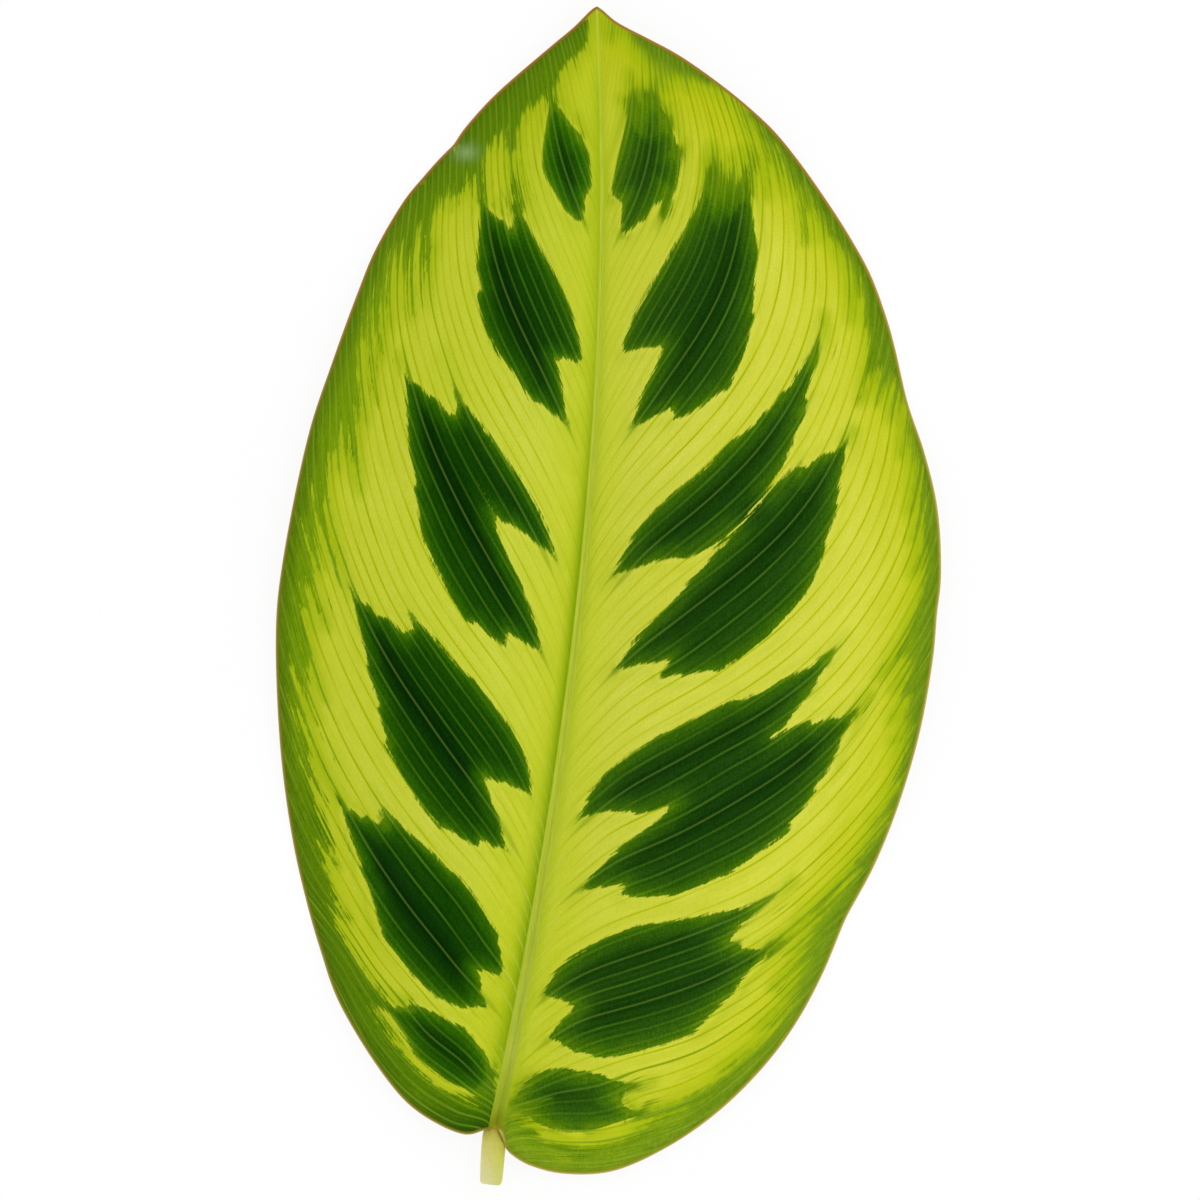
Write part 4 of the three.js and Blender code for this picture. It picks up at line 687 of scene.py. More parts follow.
        (0.12, -8.22), (-0.18, -9.11), (3.32, -7.77), (6.39, -7.18), (6.42, -7.55), (5.22, -8.88),
        (5.28, -9.39), (8.28, -9.1), (11.05, -8.4), (11.72, -8.88), (16.83, -5.22), (19.38, -2.92),
        (22.22, 0.33), (24.34, 5.1), (24.34, 6.43), (25.64, 9.76), (25.55, 10.87), (26.96, 18.2),
        (24.49, 16.02), (23.82, 16.03), (21.93, 14.62), (21.38, 15.26), (18.88, 13.21), (23.03, 22.42),
        (23.04, 22.88), (22.6, 22.86), (23.75, 27.86), (24, 29.74),
    ],
    [
        (-18.36, 27.21), (-18.46, 26.41), (-17.77, 24.97), (-17.29, 21.86), (-16.93, 21.2), (-17.03, 20.78),
        (-17.69, 21.49), (-17.69, 20.42), (-19.25, 22.39), (-19.91, 22.39), (-21.14, 23.96), (-21.69, 24.1),
        (-23.02, 26.49), (-23.22, 26.3), (-22.63, 22.64), (-22.28, 16.54), (-21.42, 12.76), (-21.86, 12.1),
        (-21.01, 8.65), (-21.18, 7.32), (-17.84, 0.22), (-15.53, -3.44), (-14.54, -3.33), (-11.37, -5.93),
        (-10.95, -5.66), (-11.12, -4.44), (-10.81, -4.28), (-7.9, -6.33), (-6.48, -8.13), (-7.45, -4.22),
        (-8.98, 0.11), (-12.43, 8.32), (-11.48, 7.77), (-10.48, 7.65), (-7.15, 5.09), (-5.48, 3.16),
        (-5.26, 3.27), (-5.4, 4.1), (-7.95, 10.54), (-11.18, 15.65), (-11.92, 16.18), (-15.59, 21.29),
        (-17.55, 24.97),
    ],
    [
        (26.04, -4.55), (22.33, -7.55), (20.71, -8.02), (19.93, -8.72), (15.89, -10.77), (15.05, -11.12),
        (14.27, -10.95), (6.73, -14.62), (4.06, -16.11), (-0.27, -19.33), (-1.81, -20.98), (-4.15, -25.51),
        (-0.38, -24.1), (2.4, -24), (3.06, -24.4), (6.25, -23.76), (1.51, -27.44), (-2.17, -30.86),
        (-4.46, -33.53), (-1.82, -32.62), (1.18, -32.19), (1.53, -32.3), (0.87, -33.19), (1.06, -33.39),
        (5.95, -33.33), (6.95, -33.58), (13.5, -30.83), (20.03, -26.2), (20.6, -25), (23.23, -21.87),
        (23.15, -21.05), (25.2, -18.43), (25.51, -16.88), (29.03, -10.88), (26.26, -12.98), (24.93, -13.02),
        (23.15, -13.81), (22.49, -13.2), (20.82, -14.02), (20.25, -13.99), (23.3, -10.1), (23.49, -9.11),
        (24.79, -7.55), (24.88, -6.89), (26.2, -4.78),
    ],
]

# Lime clearings inside the soft border.
CLEARINGS = [
    [
        (-11.82, 50.83), (-11.52, 50.72), (-11.14, 47.84), (-10.9, 44.06), (-11.15, 41.55), (-12.14, 43.72),
        (-12.37, 42.37), (-12.92, 43.4), (-13.37, 43.47), (-13.75, 44.51), (-13.89, 46.95), (-13.59, 48.5),
        (-12.92, 50), (-12.48, 49.41),
    ],
    [
        (-32.8, -18.21), (-31.04, -21.09), (-28.91, -25.74), (-27.8, -29.06), (-27.55, -30.75),
        (-26.79, -32.3), (-25.88, -36.52), (-24.88, -38.3), (-21.96, -41.96), (-18.36, -45.36),
        (-15.03, -46.21), (-14.36, -45.97), (-12.93, -46.29), (-14.08, -42.85), (-14.03, -42.06),
        (-13.03, -41.92), (-11.22, -43.18), (-10.95, -44.07), (-11.09, -45.4), (-11.59, -47.45),
        (-12.29, -47.62), (-12.59, -50.55), (-13.14, -50.48), (-17.58, -45.81), (-17.47, -46.72),
        (-22.25, -44.47), (-22.52, -44.51), (-22.58, -45.23), (-23.85, -45.07), (-25.58, -43.76),
        (-27.7, -41.07), (-28.92, -38.96), (-29.12, -37.85), (-30.02, -36.62), (-30.2, -35.41),
        (-29.24, -36.1), (-29.09, -35.52), (-30.05, -34.08), (-30.83, -31.64), (-31.21, -29.31),
        (-30.09, -29.86), (-31.68, -25.64),
    ],
    [
        (-22.19, -50.84), (-19.47, -52.9), (-19.23, -53.84), (-18.69, -53.94), (-17.67, -54.84),
        (-19.54, -53.95), (-19.8, -53.3), (-22.05, -51.4),
    ],
    [
        (3.75, -57.95), (4.85, -58.06), (2.73, -59.17), (1.62, -60.28), (-2.71, -61.24), (-6.71, -60.51),
        (-7.48, -60.11), (-8.31, -59.06), (-8.04, -58.85), (-4.82, -59.65), (-2.38, -59.75), (1.62, -58.3),
    ],
]

# Main vein of each dark blotch: place of its foot along the midrib, from the tip, and how dark its core is.
MAIN_VEINS = {
    "left": [
        (28.6, 0.6), (52.8, 0.9), (69.55, 0.6), (78.2, 1), (98.6, 1), (114.35, 0.95), (123.5, 0.6),
    ],
    "right": [
        (29.35, 0.5), (54.03, 0.9), (70.27, 0.85), (80.16, 1), (95.35, 0.85), (102.42, 1), (113.1, 0.7),
        (118.9, 0.8), (127.9, 0.5),
    ],
}
# Thin lime slits between the parts of a blotch: points along each, and its half width.
SLITS = [
    ([(18.6, 12.9), (17.16, 10.87), (15.72, 9.21), (14.27, 7.66), (12.4, 5.4)], 0.11),
    ([(-14.45, 12.7), (-13.7, 11.1), (-12.95, 9.4)], 0.1),
    ([(21.6, -13.5), (19.6, -14.75), (17.9, -15.8)], 0.1),
]
# Half width of the pale band along the midrib, against the share of the midrib from the base.
PALE_BAND = [(0, 0.8), (0.035, 0.777), (0.107, 0.666), (0.251, 0.555), (0.323, 0.5), (0.43, 0.444), (0.61, 0.333), (0.718, 0.278), (1, 0.1)]


# ------------------------------------------------------------------ tables and curves
def table(pairs):
    """Smooth monotone curve through (x, y) pairs, for arrays."""
    x = np.array([p[0] for p in pairs], float)
    y = np.array([p[1] for p in pairs], float)
    n = len(x)
    h = np.diff(x)
    d = np.diff(y) / h
    m = np.zeros(n)
    m[0], m[-1] = d[0], d[-1]
    for i in range(1, n - 1):
        if d[i - 1] * d[i] > 0:
            w1, w2 = 2 * h[i] + h[i - 1], h[i] + 2 * h[i - 1]
            m[i] = (w1 + w2) / (w1 / d[i - 1] + w2 / d[i])

    def at(v):
        v = np.clip(np.asarray(v, float), x[0], x[-1])
        i = np.clip(np.searchsorted(x, v, side="right") - 1, 0, n - 2)
        t = (v - x[i]) / h[i]
        t2, t3 = t * t, t * t * t
        return ((2 * t3 - 3 * t2 + 1) * y[i] + (t3 - 2 * t2 + t) * h[i] * m[i]
                + (-2 * t3 + 3 * t2) * y[i + 1] + (t3 - t2) * h[i] * m[i + 1])
    return at


class Path:
    """Centripetal curve through points, read by share of its length."""

    def __init__(self, points, divisions=1600):
        p = np.array(points, float)
        p = np.vstack([2 * p[0] - p[1], p, 2 * p[-1] - p[-2]])
        self.c = []
        for i in range(len(p) - 3):
            a, b, c, d = p[i:i + 4]
            k0, k1, k2 = (max(np.hypot(*(v - u)), 1e-12) ** 0.5 for u, v in ((a, b), (b, c), (c, d)))
            t1 = ((b - a) / k0 - (c - a) / (k0 + k1) + (c - b) / k1) * k1
            t2 = ((c - b) / k1 - (d - b) / (k1 + k2) + (d - c) / k2) * k1
            self.c.append((b, t1, -3 * b + 3 * c - 2 * t1 - t2, 2 * b - 2 * c + t1 + t2))
        self.c = np.array(self.c)
        self.t = np.linspace(0, 1, divisions + 1)
        q = self.point(self.t)
        self.q = q
        self.s = np.concatenate([[0], np.cumsum(np.hypot(*np.diff(q, axis=0).T))])
        self.length = self.s[-1]

    def point(self, t):
        f = np.clip(np.asarray(t, float), 0, 1) * len(self.c)
        i = np.minimum(f.astype(int), len(self.c) - 1)
        w = (f - i)[..., None]
        c = self.c[i]
        return c[..., 0, :] + w * (c[..., 1, :] + w * (c[..., 2, :] + w * c[..., 3, :]))

    def at(self, share):
        return self.point(np.interp(np.asarray(share, float) * self.length, self.s, self.t))


midrib = Path(MIDRIB)
margins = {"left": Path(LEFT_MARGIN), "right": Path(RIGHT_MARGIN)}
edge_height = {"left": table(LEFT_EDGE_HEIGHT), "right": table(RIGHT_EDGE_HEIGHT)}
keel_half_width, keel_depth, vein_rise = table(KEEL_HALF_WIDTH), table(KEEL_DEPTH), table(VEIN_RISE)
place = [(p[1] + p[2]) / 2 for p in STATIONS]
row_foot = table([(a, p[0]) for a, p in zip(place, STATIONS)])
row_share = {"left": table([(a, p[1]) for a, p in zip(place, STATIONS)]),
             "right": table([(a, p[2]) for a, p in zip(place, STATIONS)])}
SIDES = ("left", "right")


def smooth(x, lo, hi):
    t = np.clip((np.asarray(x, float) - lo) / (hi - lo), 0, 1)
    return t * t * (3 - 2 * t)


def keel_foot(from_base):
    t = np.maximum(0, (from_base - TIP_LIFT_START) / (1 - TIP_LIFT_START))
    return TIP_LIFT * t * t * (1.5 - 0.5 * t)


# ------------------------------------------------------------------ rows of points
ROWS, COLUMNS = 350, 100  # of the upper face
# The underside has every row, and these of the columns: all at the keel, every fourth beyond it.
UNDER = [0, 1, 2, 3, 4, 5, 6, 8, 10, 12] + list(range(16, 97, 4)) + [98, 100]


def columns(width):
    """Distances from the midrib of a row's points, close together beside the midrib."""
    a = np.linspace(0, 1, COLUMNS + 1)
    start = min(1.0, 0.1 * COLUMNS / max(width, 1e-6) * 0.8)
    share = a * (1 - (1 - start) * np.exp(-a / 0.08)) / (1 - (1 - start) * math.exp(-1 / 0.08))
    return width * share


def blade(side):
    sign = -1 if side == "left" else 1
    r = np.linspace(0, 1, ROWS + 1)
    y = row_foot(r)
    share_of_midrib = np.interp(-y, -midrib.q[:, 1], midrib.s / midrib.length)
    share_of_midrib[0], share_of_midrib[-1] = 0, 1
    m = midrib.at(share_of_midrib)
    share = row_share[side](r)
    o = margins[side].at(share)
    o[0], o[-1] = m[0], m[-1]
    from_base = 1 - share_of_midrib
    width = np.hypot(*(o - m).T)
    kw = np.minimum(keel_half_width(from_base), 0.34 * width)
    z_foot = keel_foot(from_base)
    z_mid = z_foot + keel_depth(from_base) + BLADE_THICKNESS
    z_edge = edge_height[side](share) + EDGE_THICKNESS
    rows = []
    for j in range(ROWS + 1):
        d = columns(width[j])
        w = d / width[j] if width[j] > 1e-9 else np.zeros_like(d)
        p = m[j] + (o[j] - m[j]) * w[:, None]
        ease = w * w * (3 - 2 * w)
        arch = ARCH_RATIO * width[j] * np.sin(np.pi * w ** 0.86)
        fade = np.sin(np.pi * w) * min(1, width[j] / 14)
        pleat = PLEAT_HEIGHT * fade * np.cos(2 * np.pi * (m[j, 1] - vein_rise(d) + (4 if sign < 0 else 2)) / PLEAT_PITCH)
        top = z_mid[j] + (z_edge[j] - z_mid[j]) * ease + arch + pleat
        skin = top - BLADE_THICKNESS - (EDGE_THICKNESS - BLADE_THICKNESS) * w * w
        k = smooth(d, KEEL_FLAT * kw[j], 1.12 * kw[j] + 1e-6) if kw[j] > 1e-6 else np.ones_like(d)
        bottom = z_foot[j] + (skin - z_foot[j]) * k
        rows.append(np.column_stack([p, top, bottom, d, np.full_like(d, from_base[j]), w]))
    return np.array(rows)  # row, column, (x, y, top, bottom, d, from_base, w)


halves = {side: blade(side) for side in SIDES}
for h in halves.values():
    h[..., 0] += SHIFT[0]
    h[..., 1] += SHIFT[1]

# ------------------------------------------------------------------ veins
class VeinField:
    """Smooth field through scattered points: where a point's vein meets the midrib, and how far along it lies."""

    def __init__(self, guides, axis):
        at, values = [], []
        for foot, points in guides:
            p = np.array(points, float)
            run = np.concatenate([[0], np.cumsum(np.hypot(*np.diff(p, axis=0).T))])
            start = np.min(np.hypot(*(axis - p[0]).T))
            at.append(p)
            values.append(np.column_stack([np.full(len(p), foot), run + start]))
        self.at, v = np.vstack(at), np.vstack(values)
        n = len(self.at)
        k = self.kernel(self.at)
        k[np.arange(n), np.arange(n)] += 0.4
        a = np.zeros((n + 3, n + 3))
        a[:n, :n] = k
        a[:n, n:] = np.column_stack([np.ones(n), self.at / 50])
        a[n:, :n] = a[:n, n:].T
        self.w = np.linalg.solve(a, np.vstack([v, np.zeros((3, 2))]))

    def kernel(self, p):
        r2 = ((p[:, None, :] - self.at[None]) ** 2).sum(-1)
        return 0.5 * r2 * np.log(r2 + 1e-9)

    def __call__(self, p):
        out = np.empty((len(p), 2))
        for i in range(0, len(p), 20000):
            q = p[i:i + 20000]
            out[i:i + 20000] = self.kernel(q) @ self.w[:-3] + np.column_stack([np.ones(len(q)), q / 50]) @ self.w[-3:]
        return out


axis_points = midrib.q + np.array(SHIFT)
fields = {side: VeinField(GUIDE_VEINS[side], axis_points) for side in SIDES}


def foot_and_run(side, p, d):
    """Place of the vein's foot, its running length and the gap between veins there."""
    step = 0.05

    def foot(q, dist):
        v = fields[side](q)
        return v[:, 0] - 2.6 * np.exp(-dist / 0.55), v[:, 1]
    f0, run = foot(p, d)
    fx, _ = foot(p + (step, 0), d)
    fy, _ = foot(p + (0, step), d)
    slope = np.hypot(fx - f0, fy - f0) / step
    return f0, run, slope


def vein_number(side, foot):
    """Each vein's place becomes a whole number, so that the material can draw a line at each."""
    at = np.array([v[0] for v in SIDE_VEINS[side]])
    strength = np.array([v[1] for v in SIDE_VEINS[side]])
    n = np.arange(len(at), dtype=float)
    lo, hi = (at[1] - at[0]), (at[-1] - at[-2])
    at = np.concatenate([at[0] - lo * np.arange(30, 0, -1), at, at[-1] + hi * np.arange(1, 31)])
    n = np.concatenate([-np.arange(30, 0, -1.0), n, n[-1] + np.arange(1, 31)])
    strength = np.concatenate([np.full(30, 0.6), strength, np.full(30, 0.6)])
    q = np.interp(foot, at, n)
    per_mm = np.interp(foot, (at[:-1] + at[1:]) / 2, 1 / np.diff(at))
    return q, np.interp(foot, at, strength), per_mm


def outline_distance(p, outlines, signs):
    """Signed distance to the nearest outline, positive inside the union of the outlines less the islands."""
    best = np.full(len(p), 1e9)
    inside = np.zeros(len(p), bool)
    for outline, sign in zip(outlines, signs):
        a = np.array(outline, float)
        b = np.roll(a, -1, axis=0)
        lo, hi = a.min(0) - 9, a.max(0) + 9
        near = np.where(((p > lo) & (p < hi)).all(1))[0]
        for i in range(0, len(near), 8000):
            k = near[i:i + 8000]
            q = p[k]
            e = b - a
            w = q[:, None, :] - a[None]
            t = np.clip((w * e).sum(-1) / np.maximum((e * e).sum(-1), 1e-12), 0, 1)
            dist = np.sqrt(((w - t[..., None] * e) ** 2).sum(-1)).min(1)
            best[k] = np.minimum(best[k], dist)
            cross = ((a[:, 1] > q[:, None, 1]) != (b[:, 1] > q[:, None, 1])) & (
                q[:, None, 0] < (b[:, 0] - a[:, 0]) * (q[:, None, 1] - a[:, 1]) / np.where(b[:, 1] == a[:, 1], 1e-12, b[:, 1] - a[:, 1]) + a[:, 0])
            odd = cross.sum(1) % 2 == 1
            if sign > 0:
                inside[k] |= odd
            else:
                inside[k] &= ~odd
    best = np.minimum(best, 9.0)
    return np.where(inside, best, -best)


def line_distance(p, path):
    """Distance to an open curve."""
    line = path.at(np.linspace(0, 1, 4001)) + np.array(SHIFT)
    tree = KDTree(len(line))
    for n, (x, y) in enumerate(line):
        tree.insert((x, y, 0), n)
    tree.balance()
    return np.array([tree.find((x, y, 0))[2] for x, y in p])


# One list of points: upper face of both halves, then the underside.
points, tops = [], {}
count = 0
vertex_of = {}


def grid_vertices(face):
    """Numbers of a face's points; both halves share the midrib, and the ends are one point."""
    global count
    for side in SIDES:
        h = halves[side] if face == "top" else halves[side][:, UNDER]
        g = np.empty(h.shape[:2], int)
        for j in range(h.shape[0]):
            end = j in (0, h.shape[0] - 1)
            for i in range(h.shape[1]):
                if end and i > 0:
                    g[j, i] = g[j, 0]
                elif i == 0 and side == "right":
                    g[j, i] = vertex_of[face, "left"][j, 0]
                else:
                    g[j, i] = count
                    points.append((h[j, i, 0], h[j, i, 1], h[j, i, 2 if face == "top" else 3],
                                   h[j, i, 4], h[j, i, 5], h[j, i, 6], -1 if side == "left" else 1,
                                   1 if face == "top" else 0))
                    count += 1
        vertex_of[face, side] = g


grid_vertices("top")
grid_vertices("under")
P = np.array(points)
xy, sign = P[:, :2], P[:, 6]
is_top = P[:, 7] > 0.5
d_axis, from_base, w_row = P[:, 3], P[:, 4], P[:, 5]

near_axis = line_distance(xy, midrib)
rim = np.full(len(P), 1e9)
foot, run, slope = (np.zeros(len(P)) for _ in range(3))
number, strength, per_mm = (np.zeros(len(P)) for _ in range(3))
main = np.zeros(len(P))
main_signed = np.zeros(len(P))
core = np.zeros(len(P))
for side, s in (("left", -1), ("right", 1)):
    k = sign == s
    rim[k] = line_distance(xy[k], margins[side])
    foot[k], run[k], slope[k] = foot_and_run(side, xy[k], near_axis[k])
    number[k], strength[k], per_mm[k] = vein_number(side, foot[k])
    mains = np.array(MAIN_VEINS[side])
    beyond = foot[k][:, None] - mains[None, :, 0]
    nearest = np.abs(beyond).argmin(1)
    main_signed[k] = beyond[np.arange(k.sum()), nearest] / np.maximum(slope[k], 0.25)
    main[k] = np.abs(main_signed[k])
    core[k] = mains[nearest, 1]
gap = 1 / np.maximum(slope * per_mm, 0.25)
number += np.where(sign > 0, 200.0, 0.0)
blotch = outline_distance(xy, BLOTCHES, [1] * len(BLOTCHES))
green = outline_distance(xy, GREENS + ISLANDS, [1] * len(GREENS) + [-1] * len(ISLANDS))
green = np.maximum(green, blotch)
soft = outline_distance(xy, BORDERS + CLEARINGS, [1] * len(BORDERS) + [-1] * len(CLEARINGS))
soft = np.maximum(soft, green)
for line, half_width in SLITS:
    a = np.array(line, float)
    e = a[1:] - a[:-1]
    near = np.where(((xy > a.min(0) - 3) & (xy < a.max(0) + 3)).all(1))[0]
    w = xy[near][:, None, :] - a[None, :-1]
    t = np.clip((w * e).sum(-1) / (e * e).sum(-1), 0, 1)
    dist = np.sqrt(((w - t[..., None] * e) ** 2).sum(-1)).min(1) - half_width
    green[near] = np.minimum(green[near], dist)
# The lobe's bottom beside the stub is green up to its margin.
reach = np.where(sign < 0, 1.6 - rim - 12 * from_base, 2.4 - rim - 30 * from_base)
green = np.where(from_base < 0.08, np.maximum(green, np.minimum(0.8, reach)), green)
soft = np.maximum(soft, green)

# ------------------------------------------------------------------ relief
z = P[:, 2].copy()
t = np.abs(number - np.round(number)) * gap
groove = np.exp(-(t / 0.16) ** 2)
away = smooth(near_axis, 0.5, 1.6) * smooth(rim, 0.1, 0.8)
z -= np.where(is_top, 0.03 * strength * groove * away, 0)
z += np.where(~is_top, -0.03 * strength * groove * away * smooth(near_axis, 1.5, 3.0), 0)
main_vein = np.exp(-(main / 0.45) ** 2)
z -= np.where(is_top, 0.035 * main_vein * away, 0)
half_band = table(PALE_BAND)(from_base)
ridge = np.exp(-(near_axis / np.maximum(half_band, 0.12)) ** 4)
valley = np.exp(-((near_axis - half_band - 0.25) / 0.28) ** 2)
end_fade = smooth(w_row * 0 + (1 - from_base), 0.0, 0.03)
z += np.where(is_top, (0.09 * ridge - 0.10 * valley) * end_fade * np.clip(half_band / 0.5, 0.2, 1), 0)
z = np.maximum(z, np.where(is_top, -1, 0.0))
if (~is_top).any():
    z[~is_top] = np.maximum(z[~is_top], 0.0)

# ------------------------------------------------------------------ faces
faces, face_kind = [], []


def add(face, kind):
    a = []
    for v in face:
        if v not in a:
            a.append(v)
    if len(a) >= 3:
        faces.append(tuple(int(v) for v in a))
        face_kind.append(kind)


for face, kind in (("top", 0), ("under", 1)):
    for side in SIDES:
        g = vertex_of[face, side]
        turn = (side == "left") == (face == "top")
        for j in range(g.shape[0] - 1):
            for i in range(g.shape[1] - 1):
                q = (g[j, i], g[j, i + 1], g[j + 1, i + 1], g[j + 1, i])
                add(q if turn else q[::-1], kind)
for side in SIDES:  # the margin's wall
    a, b = vertex_of["top", side][:, -1], vertex_of["under", side][:, -1]
    for j in range(ROWS):
        wall = (a[j], a[j + 1], b[j + 1], b[j])
        add(wall[::-1] if side == "left" else wall, 2)
blade_vertices = len(P)

# ------------------------------------------------------------------ petiole stub
RINGS, AROUND = 56, 28
stub = np.array(STUB_PATH)
s = np.concatenate([[0], np.cumsum(np.hypot(*np.diff(stub[:, :2], axis=0).T))])
stub_table = [table(list(zip(s, stub[:, k]))) for k in range(4)]
along = np.concatenate([[0], s[-1] * np.linspace(0, 1, RINGS) ** 1.25])[1:]
base_z = table([(0, 0.45), (s[1], STUB_LIFT), (s[-1], STUB_LIFT)])
extra, extra_kind = [], []
for r, a in enumerate(along):
    x, y, wd, ht = (float(f(a)) for f in stub_table)
    x2, y2 = (float(f(min(a + 0.05, s[-1]))) for f in stub_table[:2])
    x1, y1 = (float(f(max(a - 0.05, 0))) for f in stub_table[:2])
    wd *= 1 - 0.42 * float(smooth(y, -59.7, -58.5))
    ht -= 0.33 * float(smooth(y, -61.8, -59.4))
    flat = 1 + 1.2 * float(smooth(y, -60.8, -59.4))  # its flanks drop under the lobes
    ln = math.hypot(x2 - x1, y2 - y1)
    nx, ny = (y2 - y1) / ln, -(x2 - x1) / ln
    lo = float(base_z(a))
    for k in range(AROUND):
        th = (k + 0.5) / AROUND * 2 * math.pi
        # faint ribs run along the stub
        rib = 1 + 0.012 * math.cos(9 * th + 1.3) * min(1, a / 0.8)
        extra.append((x + nx * math.cos(th) * wd * rib + SHIFT[0], y + ny * math.cos(th) * wd * rib + SHIFT[1],
                      (ht + lo) / 2 + (ht - lo) / 2 * rib * (math.sin(th) if math.sin(th) < 0 else math.sin(th) ** flat), a, th))
n0 = blade_vertices
for r in range(RINGS - 1):
    for k in range(AROUND):
        a, b = n0 + r * AROUND + k, n0 + r * AROUND + (k + 1) % AROUND
        faces.append((a, a + AROUND, b + AROUND, b))
        face_kind.append(3)
# The cut end: rings that dish inward to the middle.
cut = [n0 + k for k in range(AROUND)]
ring0 = np.array([e[:3] for e in extra[:AROUND]])
centre = ring0.mean(0)
direction = np.array([stub[1, 0] - stub[0, 0], stub[1, 1] - stub[0, 1], 0.0])
direction /= np.linalg.norm(direction)
previous = cut
for level, (size, depth) in enumerate([(0.93, -0.03), (0.8, -0.02), (0.6, 0.03), (0.35, 0.06)]):
    ring = []
    for k in range(AROUND):
        q = centre + (ring0[k] - centre) * size + direction * depth
        if level == 3:
            q = q + direction * 0.01 * math.sin(3 * k)
        extra.append((q[0], q[1], q[2], -1 - level, (k + 0.5) / AROUND * 2 * math.pi))
        ring.append(n0 + len(extra) - 1)
    for k in range(AROUND):
        a, b, c, d = previous[k], previous[(k + 1) % AROUND], ring[(k + 1) % AROUND], ring[k]
        faces.append((a, b, c, d))
        face_kind.append(4)
    previous = ring
q = centre + direction * 0.065
extra.append((q[0], q[1], q[2], -5, 0))
for k in range(AROUND):
    faces.append((previous[k], previous[(k + 1) % AROUND], n0 + len(extra) - 1))
    face_kind.append(4)
# The hidden end inside the keel.
last = [n0 + (RINGS - 1) * AROUND + k for k in range(AROUND)]
q = np.array([e[:3] for e in extra[(RINGS - 1) * AROUND:RINGS * AROUND]]).mean(0)
extra.append((q[0], q[1], q[2], float(s[-1]), 0))
for k in range(AROUND):
    faces.append((last[(k + 1) % AROUND], last[k], n0 + len(extra) - 1))
    face_kind.append(5)
X = np.array(extra)

verts = np.vstack([np.column_stack([xy, z]), X[:, :3]]) * MM
mesh = bpy.data.meshes.new("prayer_leaf")
mesh.from_pydata(verts.tolist(), [], faces)
mesh.validate(verbose=False)
mesh.update()
kind = np.array(face_kind)
assert len(mesh.polygons) == len(kind), (len(mesh.polygons), len(kind))
mesh.polygons.foreach_set("use_smooth", np.ones(len(kind), bool))
mesh.polygons.foreach_set("material_index", np.array([0, 1, 0, 2, 3, 2], np.int32)[kind])

pad = lambda a, fill=0.0: np.concatenate([a, np.full(len(X), fill)])
stub_run = X[:, 3]
columns_out = {
    "vein": pad(number), "vein_strength": pad(strength), "vein_gap": pad(gap, 1.3),
    "run": np.concatenate([run, stub_run]), "axis": pad(near_axis), "axis_signed": pad(near_axis * sign),
    "rim": pad(rim, 9.0), "blotch": pad(blotch, -9.0), "green": pad(green, -9.0), "main_vein": pad(main, 9.0), "main_signed": pad(main_signed, 9.0),
    "from_base": pad(from_base), "right_half": pad(np.where(sign > 0, 1.0, 0.0)),
    "foot": pad(foot), "core": pad(core), "soft": pad(soft, -9.0), "pale_half": pad(half_band, 0.7),
    "round": np.concatenate([np.zeros(len(P)), X[:, 4]]),
    # painted_sheen: a soft pale spot near the notch in the left margin by the tip, a painted sheen highlight.
    "painted_sheen": pad(np.exp(-(((xy[:, 0] + 15.8) / 1.25) ** 2 + ((xy[:, 1] - 49.2) / 0.85) ** 2))),
}
for name, values in columns_out.items():
    mesh.attributes.new(name, "FLOAT", "POINT").data.foreach_set("value", np.ascontiguousarray(values, np.float32))

# ------------------------------------------------------------------ UV map: upper face, underside, wall and stub side by side
uv = mesh.uv_layers.new(name="OFBake")
loop_vertex = np.empty(len(mesh.loops), np.int32)
mesh.loops.foreach_get("vertex_index", loop_vertex)
loop_total = np.empty(len(mesh.polygons), np.int32)
mesh.polygons.foreach_get("loop_total", loop_total)
loop_kind = np.repeat(kind, loop_total)
all_xy = verts[:, :2] / MM
x_lo, x_hi = all_xy[:, 0].min(), all_xy[:, 0].max()
y_lo, y_hi = all_xy[:, 1].min(), all_xy[:, 1].max()
u_long = 0.004 + 0.992 * (all_xy[:, 1] - y_lo) / (y_hi - y_lo)
u_wide = (all_xy[:, 0] - x_lo) / (x_hi - x_lo)
co = np.zeros((len(mesh.loops), 2))
k = loop_kind == 0
co[k] = np.column_stack([u_long, 0.004 + 0.60 * u_wide])[loop_vertex[k]]
k = loop_kind == 1
co[k] = np.column_stack([u_long, 0.612 + 0.345 * u_wide])[loop_vertex[k]]
# Wall: its length along U, each side in a strip of its own.
wall_u = np.zeros(len(verts))
wall_v = np.zeros(len(verts))
for n, side in enumerate(SIDES):
    a, b = vertex_of["top", side][:, -1], vertex_of["under", side][:, -1]
    top_u, low_u = 0.12 + 0.87 * np.linspace(0, 1, len(a)), 0.12 + 0.87 * np.linspace(0, 1, len(b))
    if n == 0:
        wall = {}
    for v, u_ in zip(a, top_u):
        wall[int(v), n] = (u_, 0.978 + 0.012 * n)
    for v, u_ in zip(b, low_u):
        wall[int(v), n] = (u_, 0.970 + 0.012 * n)
face_start = np.concatenate([[0], np.cumsum(loop_total)])[:-1]
for f in np.where(kind == 2)[0]:
    ls = range(face_start[f], face_start[f] + loop_total[f])
    vs = [int(loop_vertex[l]) for l in ls]
    n = 0 if all((v, 0) in wall for v in vs) and not all((v, 1) in wall for v in vs) else 1
    for l, v in zip(ls, vs):
        co[l] = wall[v, n]
